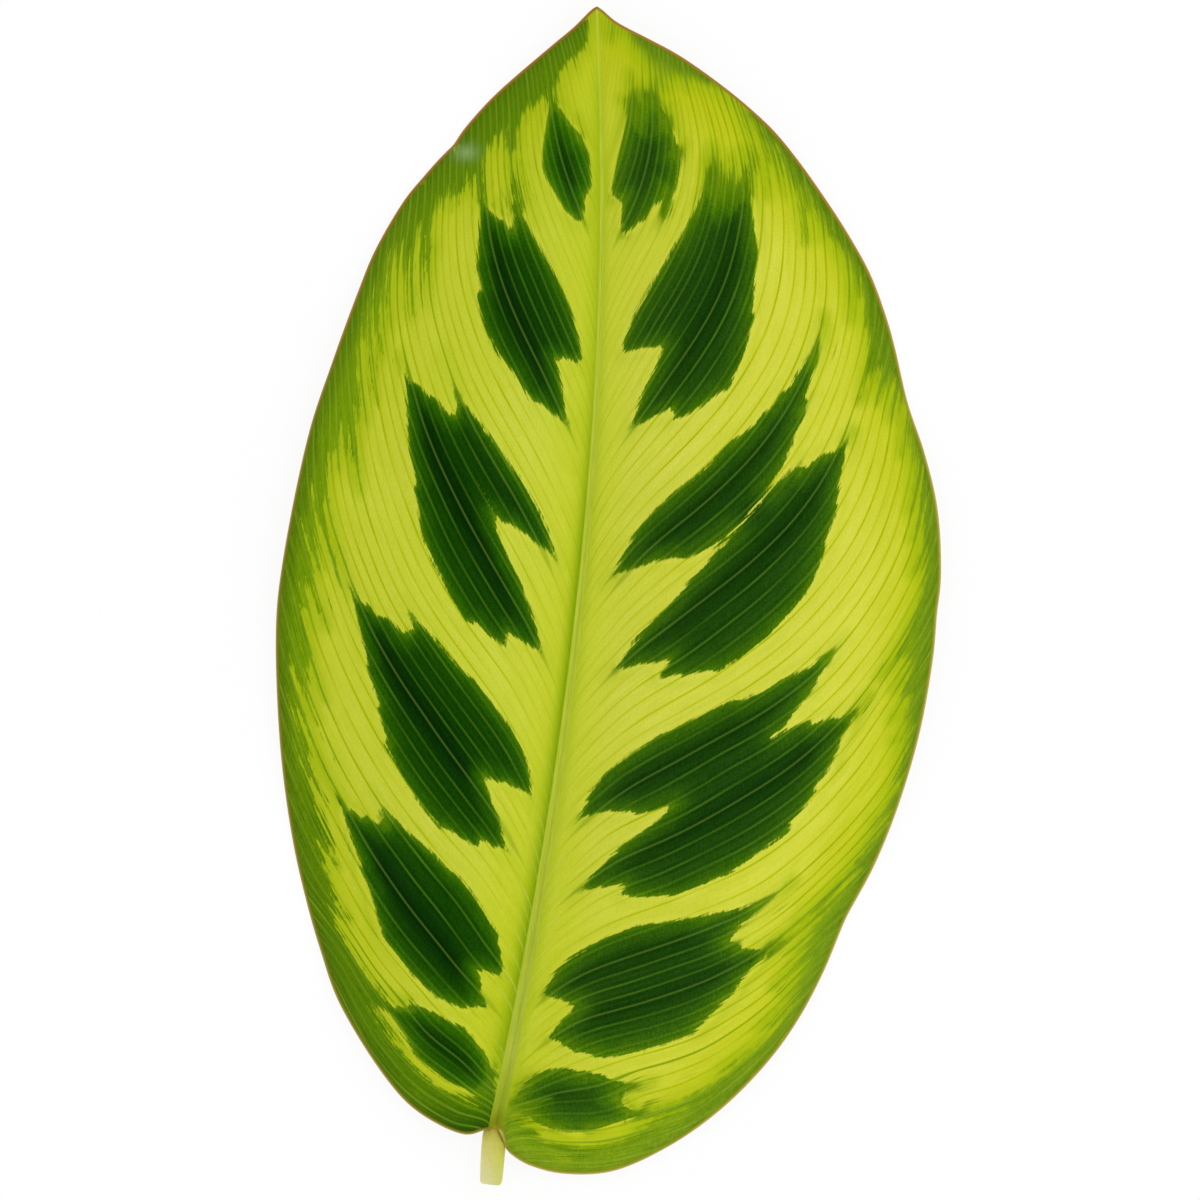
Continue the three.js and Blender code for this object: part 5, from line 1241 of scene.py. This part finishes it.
# Stub: unrolled in the corner beside the base of the blade.
for f in np.where(kind == 3)[0]:
    ls = list(range(face_start[f], face_start[f] + loop_total[f]))
    th = np.array([X[loop_vertex[l] - n0, 4] for l in ls])
    if th.max() - th.min() > 3:
        th = np.where(th < 1, th + 2 * math.pi, th)
    for l, a in zip(ls, th):
        co[l] = (0.004 + 0.064 * X[loop_vertex[l] - n0, 3] / s[-1], 0.008 + 0.094 * a / (2 * math.pi + 0.3))
for f in np.where((kind == 4) | (kind == 5))[0]:
    for l in range(face_start[f], face_start[f] + loop_total[f]):
        p = verts[loop_vertex[l]] / MM
        cx, cz = (p[0] - centre[0]), (p[2] - centre[2])
        co[l] = (0.03 + 0.012 * cx, 0.985 + 0.008 * cz) if kind[f] == 4 else (0.08 + 0.012 * (p[0] - X[-1, 0]), 0.985 + 0.008 * (p[2] - X[-1, 2]))
uv.data.foreach_set("uv", co.astype(np.float32).ravel())

leaf = bpy.data.objects.new("prayer_leaf", mesh)
bpy.context.scene.collection.objects.link(leaf)
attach(leaf, "root")
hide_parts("leaf")


# ------------------------------------------------------------------ materials
def linear(rgb):
    """0-255 display colour to linear light."""
    c = np.array(rgb, float) / 255
    return tuple(np.where(c <= 0.04045, c / 12.92, ((c + 0.055) / 1.055) ** 2.4)) + (1.0,)


class Nodes:
    def __init__(self, name):
        self.material = bpy.data.materials.new(name)
        self.material.use_nodes = True
        self.tree = self.material.node_tree
        self.tree.nodes.clear()
        self.out = self.tree.nodes.new("ShaderNodeOutputMaterial")
        self.shader = self.tree.nodes.new("ShaderNodeBsdfPrincipled")
        self.tree.links.new(self.shader.outputs[0], self.out.inputs["Surface"])
        self.cache = {}

    def put(self, socket, value):
        if isinstance(value, bpy.types.NodeSocket):
            self.tree.links.new(value, socket)
        else:
            socket.default_value = value

    def attr(self, name):
        if name not in self.cache:
            n = self.tree.nodes.new("ShaderNodeAttribute")
            n.attribute_name = name
            self.cache[name] = n.outputs["Fac"]
        return self.cache[name]

    def math(self, op, a, b=0.0, c=None, clamp=False):
        n = self.tree.nodes.new("ShaderNodeMath")
        n.operation = op
        n.use_clamp = clamp
        self.put(n.inputs[0], a)
        self.put(n.inputs[1], b)
        if c is not None:
            self.put(n.inputs[2], c)
        return n.outputs[0]

    def add(self, a, b):
        return self.math("ADD", a, b)

    def sub(self, a, b):
        return self.math("SUBTRACT", a, b)

    def mul(self, a, b, clamp=False):
        return self.math("MULTIPLY", a, b, clamp=clamp)

    def step(self, x, lo, hi, a=0.0, b=1.0):
        n = self.tree.nodes.new("ShaderNodeMapRange")
        n.interpolation_type = "SMOOTHSTEP"
        self.put(n.inputs["Value"], x)
        self.put(n.inputs["From Min"], lo)
        self.put(n.inputs["From Max"], hi)
        self.put(n.inputs["To Min"], a)
        self.put(n.inputs["To Max"], b)
        return n.outputs["Result"]

    def vector(self, x, y, z=0.0):
        n = self.tree.nodes.new("ShaderNodeCombineXYZ")
        for socket, v in zip(n.inputs, (x, y, z)):
            self.put(socket, v)
        return n.outputs[0]

    def noise(self, vector, scale=1.0, detail=2.0, rough=0.5, centred=True):
        n = self.tree.nodes.new("ShaderNodeTexNoise")
        n.inputs["Scale"].default_value = scale
        n.inputs["Detail"].default_value = detail
        n.inputs["Roughness"].default_value = rough
        self.put(n.inputs["Vector"], vector)
        f = n.outputs["Fac"]
        return self.sub(f, 0.5) if centred else f

    def mix(self, fac, a, b):
        n = self.tree.nodes.new("ShaderNodeMix")
        n.data_type = "RGBA"
        n.clamp_factor = True
        self.put(n.inputs[0], fac)
        self.put(n.inputs[6], a)
        self.put(n.inputs[7], b)
        return n.outputs[2]

    def ramp(self, x, stops):
        n = self.tree.nodes.new("ShaderNodeValToRGB")
        lo, hi = stops[0][0], stops[-1][0]
        e = n.color_ramp.elements
        while len(e) > 1:
            e.remove(e[-1])
        for i, (at, colour) in enumerate(stops):
            el = e[0] if i == 0 else e.new((at - lo) / (hi - lo))
            el.position = (at - lo) / (hi - lo)
            el.color = linear(colour)
        m = self.tree.nodes.new("ShaderNodeMapRange")
        self.put(m.inputs["Value"], x)
        m.inputs["From Min"].default_value = lo
        m.inputs["From Max"].default_value = hi
        self.put(n.inputs["Fac"], m.outputs["Result"])
        return n.outputs["Color"]

    def shade(self, colour, factor):
        """Colour times a number."""
        n = self.tree.nodes.new("ShaderNodeVectorMath")
        n.operation = "SCALE"
        self.put(n.inputs[0], colour)
        self.put(n.inputs["Scale"], factor)
        return n.outputs[0]

    def tint(self, colour, n, gains):
        """Colour whose channels each rise and fall with a number, by their own gain."""
        m = self.tree.nodes.new("ShaderNodeVectorMath")
        m.operation = "MULTIPLY"
        self.put(m.inputs[0], colour)
        self.put(m.inputs[1], self.vector(*[self.math("MAXIMUM", self.add(1.0, self.mul(n, g)), 0.05) for g in gains]))
        return m.outputs[0]

    def bump(self, height, distance, strength=1.0):
        n = self.tree.nodes.new("ShaderNodeBump")
        n.inputs["Strength"].default_value = strength
        n.inputs["Distance"].default_value = distance
        self.put(n.inputs["Height"], height)
        return n.outputs["Normal"]


upper = Nodes("leaf_upper")
N = upper
A = N.attr
right, axis, rim, run = A("right_half"), A("axis"), A("rim"), A("run")
q, gap, half = A("vein"), A("vein_gap"), A("pale_half")

# Noise that follows the veins: fine long lines, broader streaks, cells between veins, and teeth across them.
striae = N.noise(N.vector(N.mul(q, 6.0), N.mul(run, 0.18)), detail=2.0, rough=0.6)
streak = N.noise(N.vector(N.mul(q, 1.8), N.mul(run, 0.16), 4.0), detail=2.0)
finger = N.noise(N.vector(N.mul(q, 4.5), N.mul(run, 0.16), 9.0), detail=3.0, rough=0.65)
cells = N.noise(N.vector(N.mul(q, 2.6), N.mul(run, 1.1), 13.0), detail=2.0, rough=0.7)
teeth = N.noise(N.vector(N.mul(q, 1.1), N.mul(run, 2.6), 7.0), detail=2.0, rough=0.6)
rung = N.noise(N.vector(N.mul(q, 1.6), N.mul(run, 4.4), 5.0), detail=1.0)
comb = N.noise(N.vector(N.mul(q, 3.2), N.mul(run, 0.07), 21.0), detail=2.0, rough=0.6)
calm = N.step(gap, 0.4, 1.0)  # none of it where the veins crowd together beside the midrib
striae, streak, finger, cells, teeth, rung = [N.mul(n, calm) for n in (striae, streak, finger, cells, teeth, rung)]
place = N.tree.nodes.new("ShaderNodeTexCoord").outputs["Object"]
cloud = N.noise(place, scale=60.0, detail=3.0)
grain = N.noise(place, scale=4600.0, detail=2.0)

# A line at each side vein: green on lime, bright with dark flanks in the blotches. Each fades in and out along itself.
whole = N.math("ROUND", q)
t = N.mul(N.math("ABSOLUTE", N.sub(q, whole)), gap)
clear = N.mul(N.step(axis, 0.2, 0.6), N.step(rim, 0.1, 0.5))
near_main = N.step(A("main_vein"), 0.3, 0.7, 1, 0)
vary = N.add(1.0, N.mul(N.noise(N.vector(N.mul(whole, 7.3), N.mul(run, 0.12), 3.0), detail=1.0), 2.2))
strength = N.mul(N.mul(A("vein_strength"), clear), N.mul(N.sub(1.0, near_main), vary))
thin = N.mul(N.step(t, 0.02, 0.17, 1, 0), strength)
flank = N.mul(N.mul(N.step(t, 0.12, 0.24), N.step(t, 0.3, 0.6, 1, 0)), strength)
across = N.math("ABSOLUTE", A("main_signed"))
main_line = N.mul(N.mul(N.step(across, 0.02, 0.17, 1, 0), near_main), N.mul(N.step(axis, 0.3, 0.8), N.step(rim, 0.1, 0.5)))
main_flank = N.mul(N.mul(N.step(across, 0.12, 0.22), N.step(across, 0.3, 0.6, 1, 0)), N.step(A("main_vein"), 0.6, 0.9, 1, 0))

# Lime ground: paler away from the midrib and the margin. The darkening beside the midrib, with its dark flank on the
# left, and towards the margin is partly the lime's own colour and partly painted shade of the relief; the left half,
# darker than the right, is partly painted shade of light from the right.
off = N.math("DIVIDE", N.sub(axis, half), N.add(N.mul(half, 1.2), 0.4))
shaded_ground_left = N.ramp(off, [(0.1, (126, 156, 5)), (0.38, (143, 169, 10)), (0.66, (159, 178, 20)), (0.94, (169, 186, 32)), (1.5, (184, 195, 40)),
                           (2.6, (190, 199, 49)), (8, (193, 201, 62)), (20, (189, 198, 54))])
ground_left_top = N.ramp(off, [(0.1, (156, 178, 24)), (0.38, (166, 185, 28)), (0.66, (171, 188, 30)), (0.94, (174, 190, 33)), (1.5, (180, 193, 38)),
                               (2.6, (187, 197, 46)), (8, (190, 199, 60)), (20, (186, 196, 50))])
shaded_ground_left = N.mix(N.step(A("from_base"), 0.48, 0.72), shaded_ground_left, ground_left_top)
shaded_ground_right = N.ramp(off, [(0, (172, 190, 38)), (0.35, (184, 199, 44)), (0.8, (193, 203, 52)), (1.8, (195, 204, 53)),
                            (5, (198, 204, 63)), (14, (202, 206, 67)), (30, (201, 205, 62))])
ground = N.mix(right, shaded_ground_left, shaded_ground_right)
# Darker lime near the margin: partly the lime's own colour, partly painted shade.
shaded_rim_lime = N.mix(right, linear((182, 192, 36)), linear((186, 194, 32)))
ground = N.mix(N.step(N.add(rim, N.mul(streak, 3.0)), 2.0, 10.0), shaded_rim_lime, ground)
ends = N.add(N.step(A("from_base"), 0.12, 0.3, 1, 0), N.step(A("from_base"), 0.72, 0.92))
ground = N.tint(ground, N.mul(ends, -0.1), (0.3, 0.2, 2.4))
ground = N.tint(ground, N.mul(N.step(A("from_base"), 0.70, 0.9), N.step(axis, 1.0, 4.0)), (-0.07, -0.05, -0.28))
ground = N.tint(ground, N.step(A("from_base"), 0.962, 0.988), (-0.22, -0.18, -0.12))
ground = N.tint(ground, striae, (0.20, 0.15, 0.9))
ground = N.tint(ground, N.add(grain, N.mul(rung, 0.7)), (0.16, 0.13, 0.9))
ground = N.tint(ground, N.add(streak, N.mul(cloud, 0.8)), (0.13, 0.10, 0.8))
pale_near = N.mul(N.step(axis, 1.2, 3.4, 1, 0), N.step(A("from_base"), 0.22, 0.42, 1, 0))
outward = N.add(0.35, N.mul(N.step(axis, 2.0, 11.0), 0.65))
lines = N.add(N.mul(thin, 1.7), N.mul(main_line, N.add(0.8, N.mul(N.step(axis, 9.0, 15.0), 1.2))))
lines = N.mul(N.mul(lines, outward), N.sub(1.0, pale_near))
streaks = N.noise(N.vector(N.mul(q, 2.2), N.mul(run, 0.05), 31.0), detail=3.0, rough=0.6)
ground = N.tint(ground, lines, (-0.17, -0.13, -0.68))
ground = N.mix(N.mul(N.mul(thin, A("vein_strength")), N.mul(pale_near, 0.45)), ground, linear((190, 203, 92)))

# The green's border: it pales over a millimetre or two, in streaks and cells that follow the veins, and is cut sharply
# in short teeth round the blotches.
near_blotch = N.step(A("blotch"), -1.3, -0.5)
outer = N.math("MAXIMUM", N.step(rim, 6.0, 9.0, 1, 0), N.step(A("from_base"), 0.78, 0.86))
span = N.math("MAXIMUM", N.sub(A("soft"), A("green")), N.add(0.2, N.mul(outer, 0.3)))
share = N.math("DIVIDE", A("green"), span)
ragged = N.add(N.add(N.mul(finger, 3.4), N.mul(striae, 2.2)), N.add(N.mul(cells, 2.6), N.mul(N.add(thin, main_line), 0.8)))
ragged = N.add(ragged, N.mul(N.mul(comb, calm), N.mul(N.step(A("from_base"), 0.76, 0.86), 4.0)))
ragged = N.mul(N.add(ragged, N.mul(N.mul(streaks, calm), 5.0)), N.sub(1.15, N.mul(right, 0.4)))
border = N.add(share, N.mul(ragged, N.add(0.35, N.mul(outer, 0.65))))
band_mask = N.step(border, N.sub(-0.8, N.mul(right, 0.3)), N.add(0.15, N.mul(right, 0.3)))
bite = N.add(N.mul(teeth, 0.45), N.add(N.mul(finger, 1.3), N.mul(striae, 0.5)))
blotch_mask = N.step(N.add(A("green"), bite), -0.12, 0.12)
green_mask = N.add(N.mul(blotch_mask, near_blotch), N.mul(band_mask, N.sub(1.0, near_blotch)))
olive = N.mix(right, linear((161, 180, 20)), linear((157, 178, 12)))
olive = N.tint(olive, striae, (0.6, 0.45, 1.6))
olive = N.tint(olive, lines, (-0.17, -0.12, -0.5))
tinge = N.step(N.add(A("soft"), N.add(N.mul(finger, 1.6), N.mul(striae, 0.8))), -1.7, 0.3)
tinge = N.mul(N.mul(tinge, N.sub(1.0, near_blotch)), N.add(0.25, N.mul(outer, 0.7)))
colour = N.mix(tinge, ground, olive)
# Each main vein runs on from the tips of its blotch as a green line that thins out.
breadth = N.add(0.15, N.mul(N.step(A("blotch"), -3.2, -0.2), N.sub(0.38, N.mul(N.step(axis, 7.0, 10.0), 0.2))))
needle = N.mul(N.step(across, N.mul(breadth, 0.25), breadth, 1, 0), N.mul(near_main, N.step(A("blotch"), -6.5, -0.3)))
needle = N.mul(needle, N.add(0.45, N.mul(N.step(axis, 7.0, 10.0), 0.4)))
colour = N.mix(N.mul(needle, N.step(axis, 0.8, 2.0)), colour, linear((108, 144, 4)))

# Green band along the margin.
band_left = N.ramp(rim, [(0.4, (86, 114, 9)), (0.9, (88, 121, 6)), (1.8, (93, 127, 3)), (3.5, (97, 132, 2)), (8, (93, 131, 1))])
band_right = N.ramp(rim, [(0.4, (101, 130, 16)), (0.9, (106, 137, 17)), (1.8, (109, 141, 14)), (3, (108, 140, 8)), (8, (103, 137, 1))])
band = N.mix(right, band_left, band_right)
low = N.step(A("from_base"), 0.08, 0.4, 1, 0)
band = N.tint(band, N.mul(low, N.sub(1.0, right)), (-0.26, -0.18, 0.0))
band = N.tint(band, N.mul(N.step(A("from_base"), 0.018, 0.055, 1, 0), N.sub(1.0, N.mul(right, 1.4))), (-0.6, -0.4, -0.7))
band = N.tint(band, N.mul(N.mul(N.step(A("from_base"), 0.25, 0.4), N.step(A("from_base"), 0.72, 0.8, 1, 0)), N.mul(N.sub(1.0, right), N.step(rim, 0.9, 2.2))), (0.26, 0.19, 0.15))
band = N.tint(band, N.mul(N.step(A("from_base"), 0.78, 0.86), N.sub(1.0, right)), (-0.18, -0.11, -0.4))
band = N.tint(band, N.mul(N.step(A("from_base"), 0.6, 0.7), right), (-0.22, -0.15, -0.45))
band = N.mix(N.mul(N.step(A("blotch"), -4.5, 0.0), 0.85), band, linear((80, 120, 3)))
band = N.tint(band, N.mul(N.step(A("from_base"), 0.034, 0.06, 1, 0), N.sub(1.0, right)), (-0.12, -0.08, -0.25))
band = N.mix(N.mul(N.mul(N.step(A("blotch"), -1.2, 0.0), N.sub(1.0, outer)), 0.8), band, linear((60, 104, 3)))
band = N.tint(band, striae, (1.5, 1.0, 2.0))
band = N.tint(band, cells, (0.7, 0.5, 0.8))
band = N.tint(band, N.add(N.add(grain, rung), N.mul(cloud, 0.8)), (0.42, 0.3, 0.8))
band = N.mix(N.mul(N.add(thin, N.mul(main_line, 0.7)), N.add(0.34, N.mul(N.step(A("from_base"), 0.02, 0.1, 1, 0), 0.22))), band, linear((138, 168, 42)))
colour = N.mix(green_mask, colour, band)

# Dark blotches: darkest well inside and along each main vein; near the ends of the leaf they fade into the band in streaks.
where = N.math("MAXIMUM", N.step(rim, 6.5, 10.0, 1, 0), N.math("MAXIMUM", N.step(A("from_base"), 0.72, 0.82), N.step(A("from_base"), 0.05, 0.12, 1, 0)))
merge = N.mul(N.step(N.sub(A("green"), A("blotch")), 0.55, 1.7), where)
width = N.add(0.2, N.mul(merge, 1.4))
fray = N.add(N.mul(bite, N.sub(1.0, merge)), N.mul(merge, N.add(N.add(0.5, N.mul(comb, 19.0)), N.add(N.mul(finger, 2.5), N.mul(striae, 2.0)))))
depth = N.math("DIVIDE", N.add(A("blotch"), N.mul(merge, N.mul(finger, 2.0))), N.add(1.0, N.mul(merge, 0.9)))
deep_left = N.ramp(depth, [(-0.35, (78, 117, 1)), (0, (60, 103, 1)), (0.12, (52, 97, 1)), (0.35, (43, 90, 1)), (0.6, (36, 84, 1)),
                           (0.85, (33, 80, 1)), (1.25, (29, 75, 1)), (1.7, (24, 69, 1)), (2.4, (21, 66, 1)), (3.4, (19, 64, 1)), (5, (16, 59, 1))])
deep_right = N.ramp(depth, [(-0.35, (82, 120, 4)), (0, (66, 108, 3)), (0.12, (60, 102, 4)), (0.35, (55, 96, 5)), (0.6, (50, 92, 6)),
                            (0.85, (47, 89, 7)), (1.25, (42, 83, 8)), (1.7, (37, 77, 8)), (2.4, (33, 72, 8)), (3.4, (30, 68, 8)), (5, (28, 66, 8))])
deep = N.mix(right, deep_left, deep_right)
# Darker core along each main vein, which lies sunken in a fold: partly pigment, partly painted shade of the groove.
core_pigment_and_painted_shade = N.mul(N.mul(N.step(A("main_vein"), 0.3, 2.4, 1, 0), A("core")), N.step(A("blotch"), 0.5, 2.4))
deep = N.mix(N.mul(core_pigment_and_painted_shade, N.sub(0.9, N.mul(right, 0.35))), deep, linear((7, 42, 2)))
deep = N.tint(deep, N.step(A("from_base"), 0.06, 0.18, 1, 0), (0.5, 0.27, 0.0))
deep = N.tint(deep, N.step(A("from_base"), 0.77, 0.84), (0.46, 0.28, 0.0))
deep = N.tint(deep, N.mul(N.sub(1.0, right), N.step(A("blotch"), 0.8, 1.6)), (-0.08, -0.07, 0.0))
deep = N.tint(deep, striae, (0.9, 0.6, 0.8))
deep = N.tint(deep, N.add(N.mul(rung, 0.7), N.mul(grain, 1.3)), (1.1, 0.7, 0.8))
deep = N.tint(deep, N.add(flank, main_flank), (-0.30, -0.20, 0.0))
deep = N.mix(N.mul(thin, 0.24), deep, linear((106, 150, 28)))
deep = N.mix(N.mul(main_line, 0.28), deep, linear((114, 148, 48)))
fade = N.step(N.math("DIVIDE", N.add(A("blotch"), N.add(fray, 0.1)), width), -1.0, 1.0)
fade = N.mul(fade, N.math("MAXIMUM", green_mask, merge))
colour = N.mix(fade, colour, deep)

# Pale midrib, brownish at the stub.
rib = N.ramp(A("from_base"), [(0, (142, 134, 28)), (0.005, (122, 127, 10)), (0.0136, (126, 139, 20)), (0.024, (144, 161, 37)), (0.04, (154, 171, 41)),
                              (0.066, (169, 182, 57)), (0.17, (170, 184, 53)), (0.275, (175, 189, 51)), (0.5, (178, 192, 54)), (1, (182, 197, 52))])
fibre = N.noise(N.vector(N.mul(A("axis_signed"), 7.0), N.mul(A("foot"), 0.25), 2.0), detail=2.0)
rib = N.tint(rib, fibre, (0.55, 0.4, 1.8))
colour = N.mix(N.step(N.sub(axis, half), -0.08, 0.06, 1, 0), colour, rib)
joint = N.mul(N.step(A("from_base"), 0.0, 0.008, 1, 0), N.step(axis, 1.2, 2.2, 1, 0))
colour = N.mix(N.mul(joint, 0.6), colour, linear((164, 142, 46)))

# Thin dry line along the margin, redder towards the tip, and none where the margins meet at the stub.
red = N.step(A("from_base"), 0.55, 0.9)
edge = N.mix(red, N.mix(right, linear((168, 146, 74)), linear((182, 162, 84))), linear((172, 112, 52)))
inner = N.mix(N.mul(red, 0.6), N.mix(right, linear((116, 115, 26)), linear((136, 138, 36))), linear((140, 104, 28)))
shut = N.step(A("from_base"), 0.002, 0.007)
wander = N.add(rim, N.mul(cloud, 0.12))
colour = N.mix(N.mul(N.step(wander, 0.2, 0.42, 1, 0), shut), colour, inner)
colour = N.mix(N.mul(N.step(wander, 0.06, 0.22, 1, 0), shut), colour, edge)
# A soft whitish spot near the notch in the left margin by the tip: a painted sheen highlight.
colour = N.mix(N.mul(A("painted_sheen"), N.add(0.42, N.mul(striae, 0.8))), colour, linear((158, 184, 130)))
N.put(N.shader.inputs["Base Color"], colour)
N.put(N.shader.inputs["Roughness"], N.add(0.40, N.add(N.mul(grain, 0.10), N.mul(thin, 0.08))))
N.shader.inputs["Specular IOR Level"].default_value = 0.022
height = N.add(N.mul(thin, -0.6), N.add(N.mul(rung, 0.4), N.add(N.mul(grain, 0.3), N.mul(striae, 0.5))))
N.put(N.shader.inputs["Normal"], N.bump(height, 0.00005, 0.6))

# Underside: silvery green, the pattern showing through faintly, raised veins.
under = Nodes("leaf_under")
N = under
A = N.attr
q, run = A("vein"), A("run")
streak = N.noise(N.vector(N.mul(q, 3.0), N.mul(run, 0.5)), detail=3.0)
place = N.tree.nodes.new("ShaderNodeTexCoord").outputs["Object"]
grain = N.noise(place, scale=2200.0, detail=2.0)
cloud = N.noise(place, scale=70.0, detail=3.0)
t = N.mul(N.math("ABSOLUTE", N.sub(q, N.math("ROUND", q))), A("vein_gap"))
line = N.mul(N.mul(N.step(t, 0.05, 0.2, 1, 0), A("vein_strength")), N.step(A("axis"), 0.4, 1.2))
colour = N.mix(N.step(N.add(A("green"), streak), -0.8, 0.9), linear((172, 188, 118)), linear((146, 170, 104)))
colour = N.mix(N.step(N.add(A("blotch"), streak), -0.6, 0.8), colour, linear((118, 146, 92)))
colour = N.shade(colour, N.add(1.0, N.add(N.mul(streak, 0.14), N.add(N.mul(cloud, 0.16), N.mul(grain, 0.12)))))
colour = N.mix(N.mul(line, 0.5), colour, linear((190, 202, 138)))
colour = N.mix(N.mul(N.step(A("main_vein"), 0.08, 0.3, 1, 0), 0.4), colour, linear((196, 206, 140)))
colour = N.mix(N.step(A("axis"), 0.75, 1.3, 1, 0), colour, linear((198, 202, 134)))
colour = N.mix(N.step(A("rim"), 0.05, 0.3, 1, 0), colour, linear((168, 152, 84)))
N.put(N.shader.inputs["Base Color"], colour)
N.put(N.shader.inputs["Roughness"], N.add(0.6, N.mul(grain, 0.12)))
N.shader.inputs["Specular IOR Level"].default_value = 0.25
N.put(N.shader.inputs["Normal"], N.bump(N.add(N.mul(line, 0.8), N.add(N.mul(streak, 0.3), N.mul(grain, 0.4))), 0.00006, 0.6))

# Stub: cream at its cut end, greener and then brownish towards the blade; ribbed along its length; paler on one side
# and darker on the other as painted light and shade.
stalk = Nodes("petiole")
N = stalk
A = N.attr
run, turn = A("run"), A("round")
c, sn = N.math("COSINE", turn), N.math("SINE", turn)
fibre = N.noise(N.vector(N.mul(c, 7.0), N.mul(sn, 7.0), N.mul(run, 0.5)), detail=3.0, rough=0.6)
place = N.tree.nodes.new("ShaderNodeTexCoord").outputs["Object"]
grain = N.noise(place, scale=2400.0, detail=2.0)
pale = N.ramp(run, [(0, (218, 211, 152)), (1.2, (216, 209, 146)), (2.8, (211, 205, 124)), (4.6, (201, 196, 100)), (5.6, (186, 178, 76)), (6.1, (170, 158, 54)),
                    (6.7, (134, 134, 18)), (7.6, (132, 145, 27)), (8.7, (144, 160, 37)), (11, (156, 171, 44))])
stub_shaded_side = N.ramp(run, [(0, (190, 190, 98)), (1.2, (189, 189, 94)), (2.8, (187, 187, 72)), (4.6, (178, 177, 56)), (5.6, (168, 160, 44)), (6.1, (160, 149, 36)),
                        (6.7, (130, 132, 14)), (7.6, (130, 143, 25)), (8.7, (143, 159, 36)), (11, (155, 170, 43))])
# One side of the stub lighter and the other darker by the angle round it: painted light and shade, a lit and a shaded
# copy of one colouring.
colour = N.mix(N.step(c, -0.8, 0.9), pale, stub_shaded_side)
colour = N.shade(colour, N.add(1.0, N.add(N.mul(fibre, 0.22), N.mul(grain, 0.12))))
N.put(N.shader.inputs["Base Color"], colour)
N.put(N.shader.inputs["Roughness"], N.add(0.48, N.mul(fibre, 0.12)))
N.shader.inputs["Specular IOR Level"].default_value = 0.25
N.put(N.shader.inputs["Normal"], N.bump(N.add(N.mul(fibre, 0.8), N.mul(grain, 0.4)), 0.00008, 0.6))

# Cut end: pale pith, a darker skin and small fibre bundles.
cut_end = Nodes("petiole_cut")
N = cut_end
place = N.tree.nodes.new("ShaderNodeTexCoord").outputs["Object"]
cells = N.noise(place, scale=3600.0, detail=2.0)
bundles = N.step(N.noise(place, scale=1500.0, detail=1.0), 0.08, 0.22)
ring = N.step(N.attr("run"), -1.9, -0.6)
colour = N.mix(ring, linear((206, 204, 146)), linear((168, 164, 84)))
colour = N.mix(N.mul(bundles, 0.5), colour, linear((158, 158, 86)))
colour = N.shade(colour, N.add(1.0, N.mul(cells, 0.25)))
N.put(N.shader.inputs["Base Color"], colour)
N.put(N.shader.inputs["Roughness"], N.add(0.58, N.mul(cells, 0.15)))
N.shader.inputs["Specular IOR Level"].default_value = 0.3
N.put(N.shader.inputs["Normal"], N.bump(N.add(N.mul(cells, 0.8), N.mul(bundles, -0.5)), 0.00008, 0.7))

for made in (upper, under, stalk, cut_end):
    mesh.materials.append(made.material)

# ------------------------------------------------------------------ stage, light and camera
floor_mesh = bpy.data.meshes.new("floor")
w = 3.0
floor_mesh.from_pydata([(-w, -w, -0.00002), (w, -w, -0.00002), (w, w, -0.00002), (-w, w, -0.00002)], [], [(0, 1, 2, 3)])
floor = bpy.data.objects.new("floor", floor_mesh)
bpy.context.scene.collection.objects.link(floor)
sheet = Nodes("floor_white")
speck = sheet.noise(sheet.tree.nodes.new("ShaderNodeTexCoord").outputs["Object"], scale=900.0, detail=2.0)
sheet.put(sheet.shader.inputs["Base Color"], sheet.shade((0.11, 0.11, 0.11), sheet.add(1.0, sheet.mul(speck, 0.01))))
sheet.shader.inputs["Roughness"].default_value = 0.9
sheet.shader.inputs["Emission Color"].default_value = (1, 1, 1, 1)
sheet.shader.inputs["Emission Strength"].default_value = 0.882
sheet.shader.inputs["Specular IOR Level"].default_value = 0.0
floor_mesh.materials.append(sheet.material)

# A white tent, a little brighter to the right, with an opening straight above, where the camera is.
world = bpy.data.worlds.new("studio")
bpy.context.scene.world = world
world.use_nodes = True
tree = world.node_tree
tree.nodes.clear()
coordinate = tree.nodes.new("ShaderNodeTexCoord")
split = tree.nodes.new("ShaderNodeSeparateXYZ")
tree.links.new(coordinate.outputs["Generated"], split.inputs[0])
fall = tree.nodes.new("ShaderNodeMapRange")
fall.interpolation_type = "SMOOTHSTEP"
tree.links.new(split.outputs["Z"], fall.inputs["Value"])
fall.inputs["From Min"].default_value = 0.84
fall.inputs["From Max"].default_value = 0.94
fall.inputs["To Min"].default_value = 1.33
fall.inputs["To Max"].default_value = 0.03
back = tree.nodes.new("ShaderNodeBackground")
back.inputs["Color"].default_value = (1, 1, 1, 1)
lean = tree.nodes.new("ShaderNodeMath")
lean.operation = "MULTIPLY_ADD"
tree.links.new(split.outputs["X"], lean.inputs[0])
lean.inputs[1].default_value = 0.22
lean.inputs[2].default_value = 1.0
product = tree.nodes.new("ShaderNodeMath")
product.operation = "MULTIPLY"
tree.links.new(fall.outputs["Result"], product.inputs[0])
tree.links.new(lean.outputs[0], product.inputs[1])
tree.links.new(product.outputs[0], back.inputs["Strength"])
tree.links.new(back.outputs[0], tree.nodes.new("ShaderNodeOutputWorld").inputs["Surface"])

camera_data = bpy.data.cameras.new("camera")
camera_data.sensor_width = 36.0
camera_height = 1.6
camera_data.lens = 36.0 * camera_height / 0.1332
camera_data.clip_end = 50.0
camera = bpy.data.objects.new("camera", camera_data)
camera.location = (-0.000933, -0.000448, camera_height)
bpy.context.scene.collection.objects.link(camera)
bpy.context.scene.camera = camera
view = bpy.context.scene.view_settings
view.view_transform = "Standard"
view.look = "None"
view.exposure = 0.0
view.gamma = 1.0
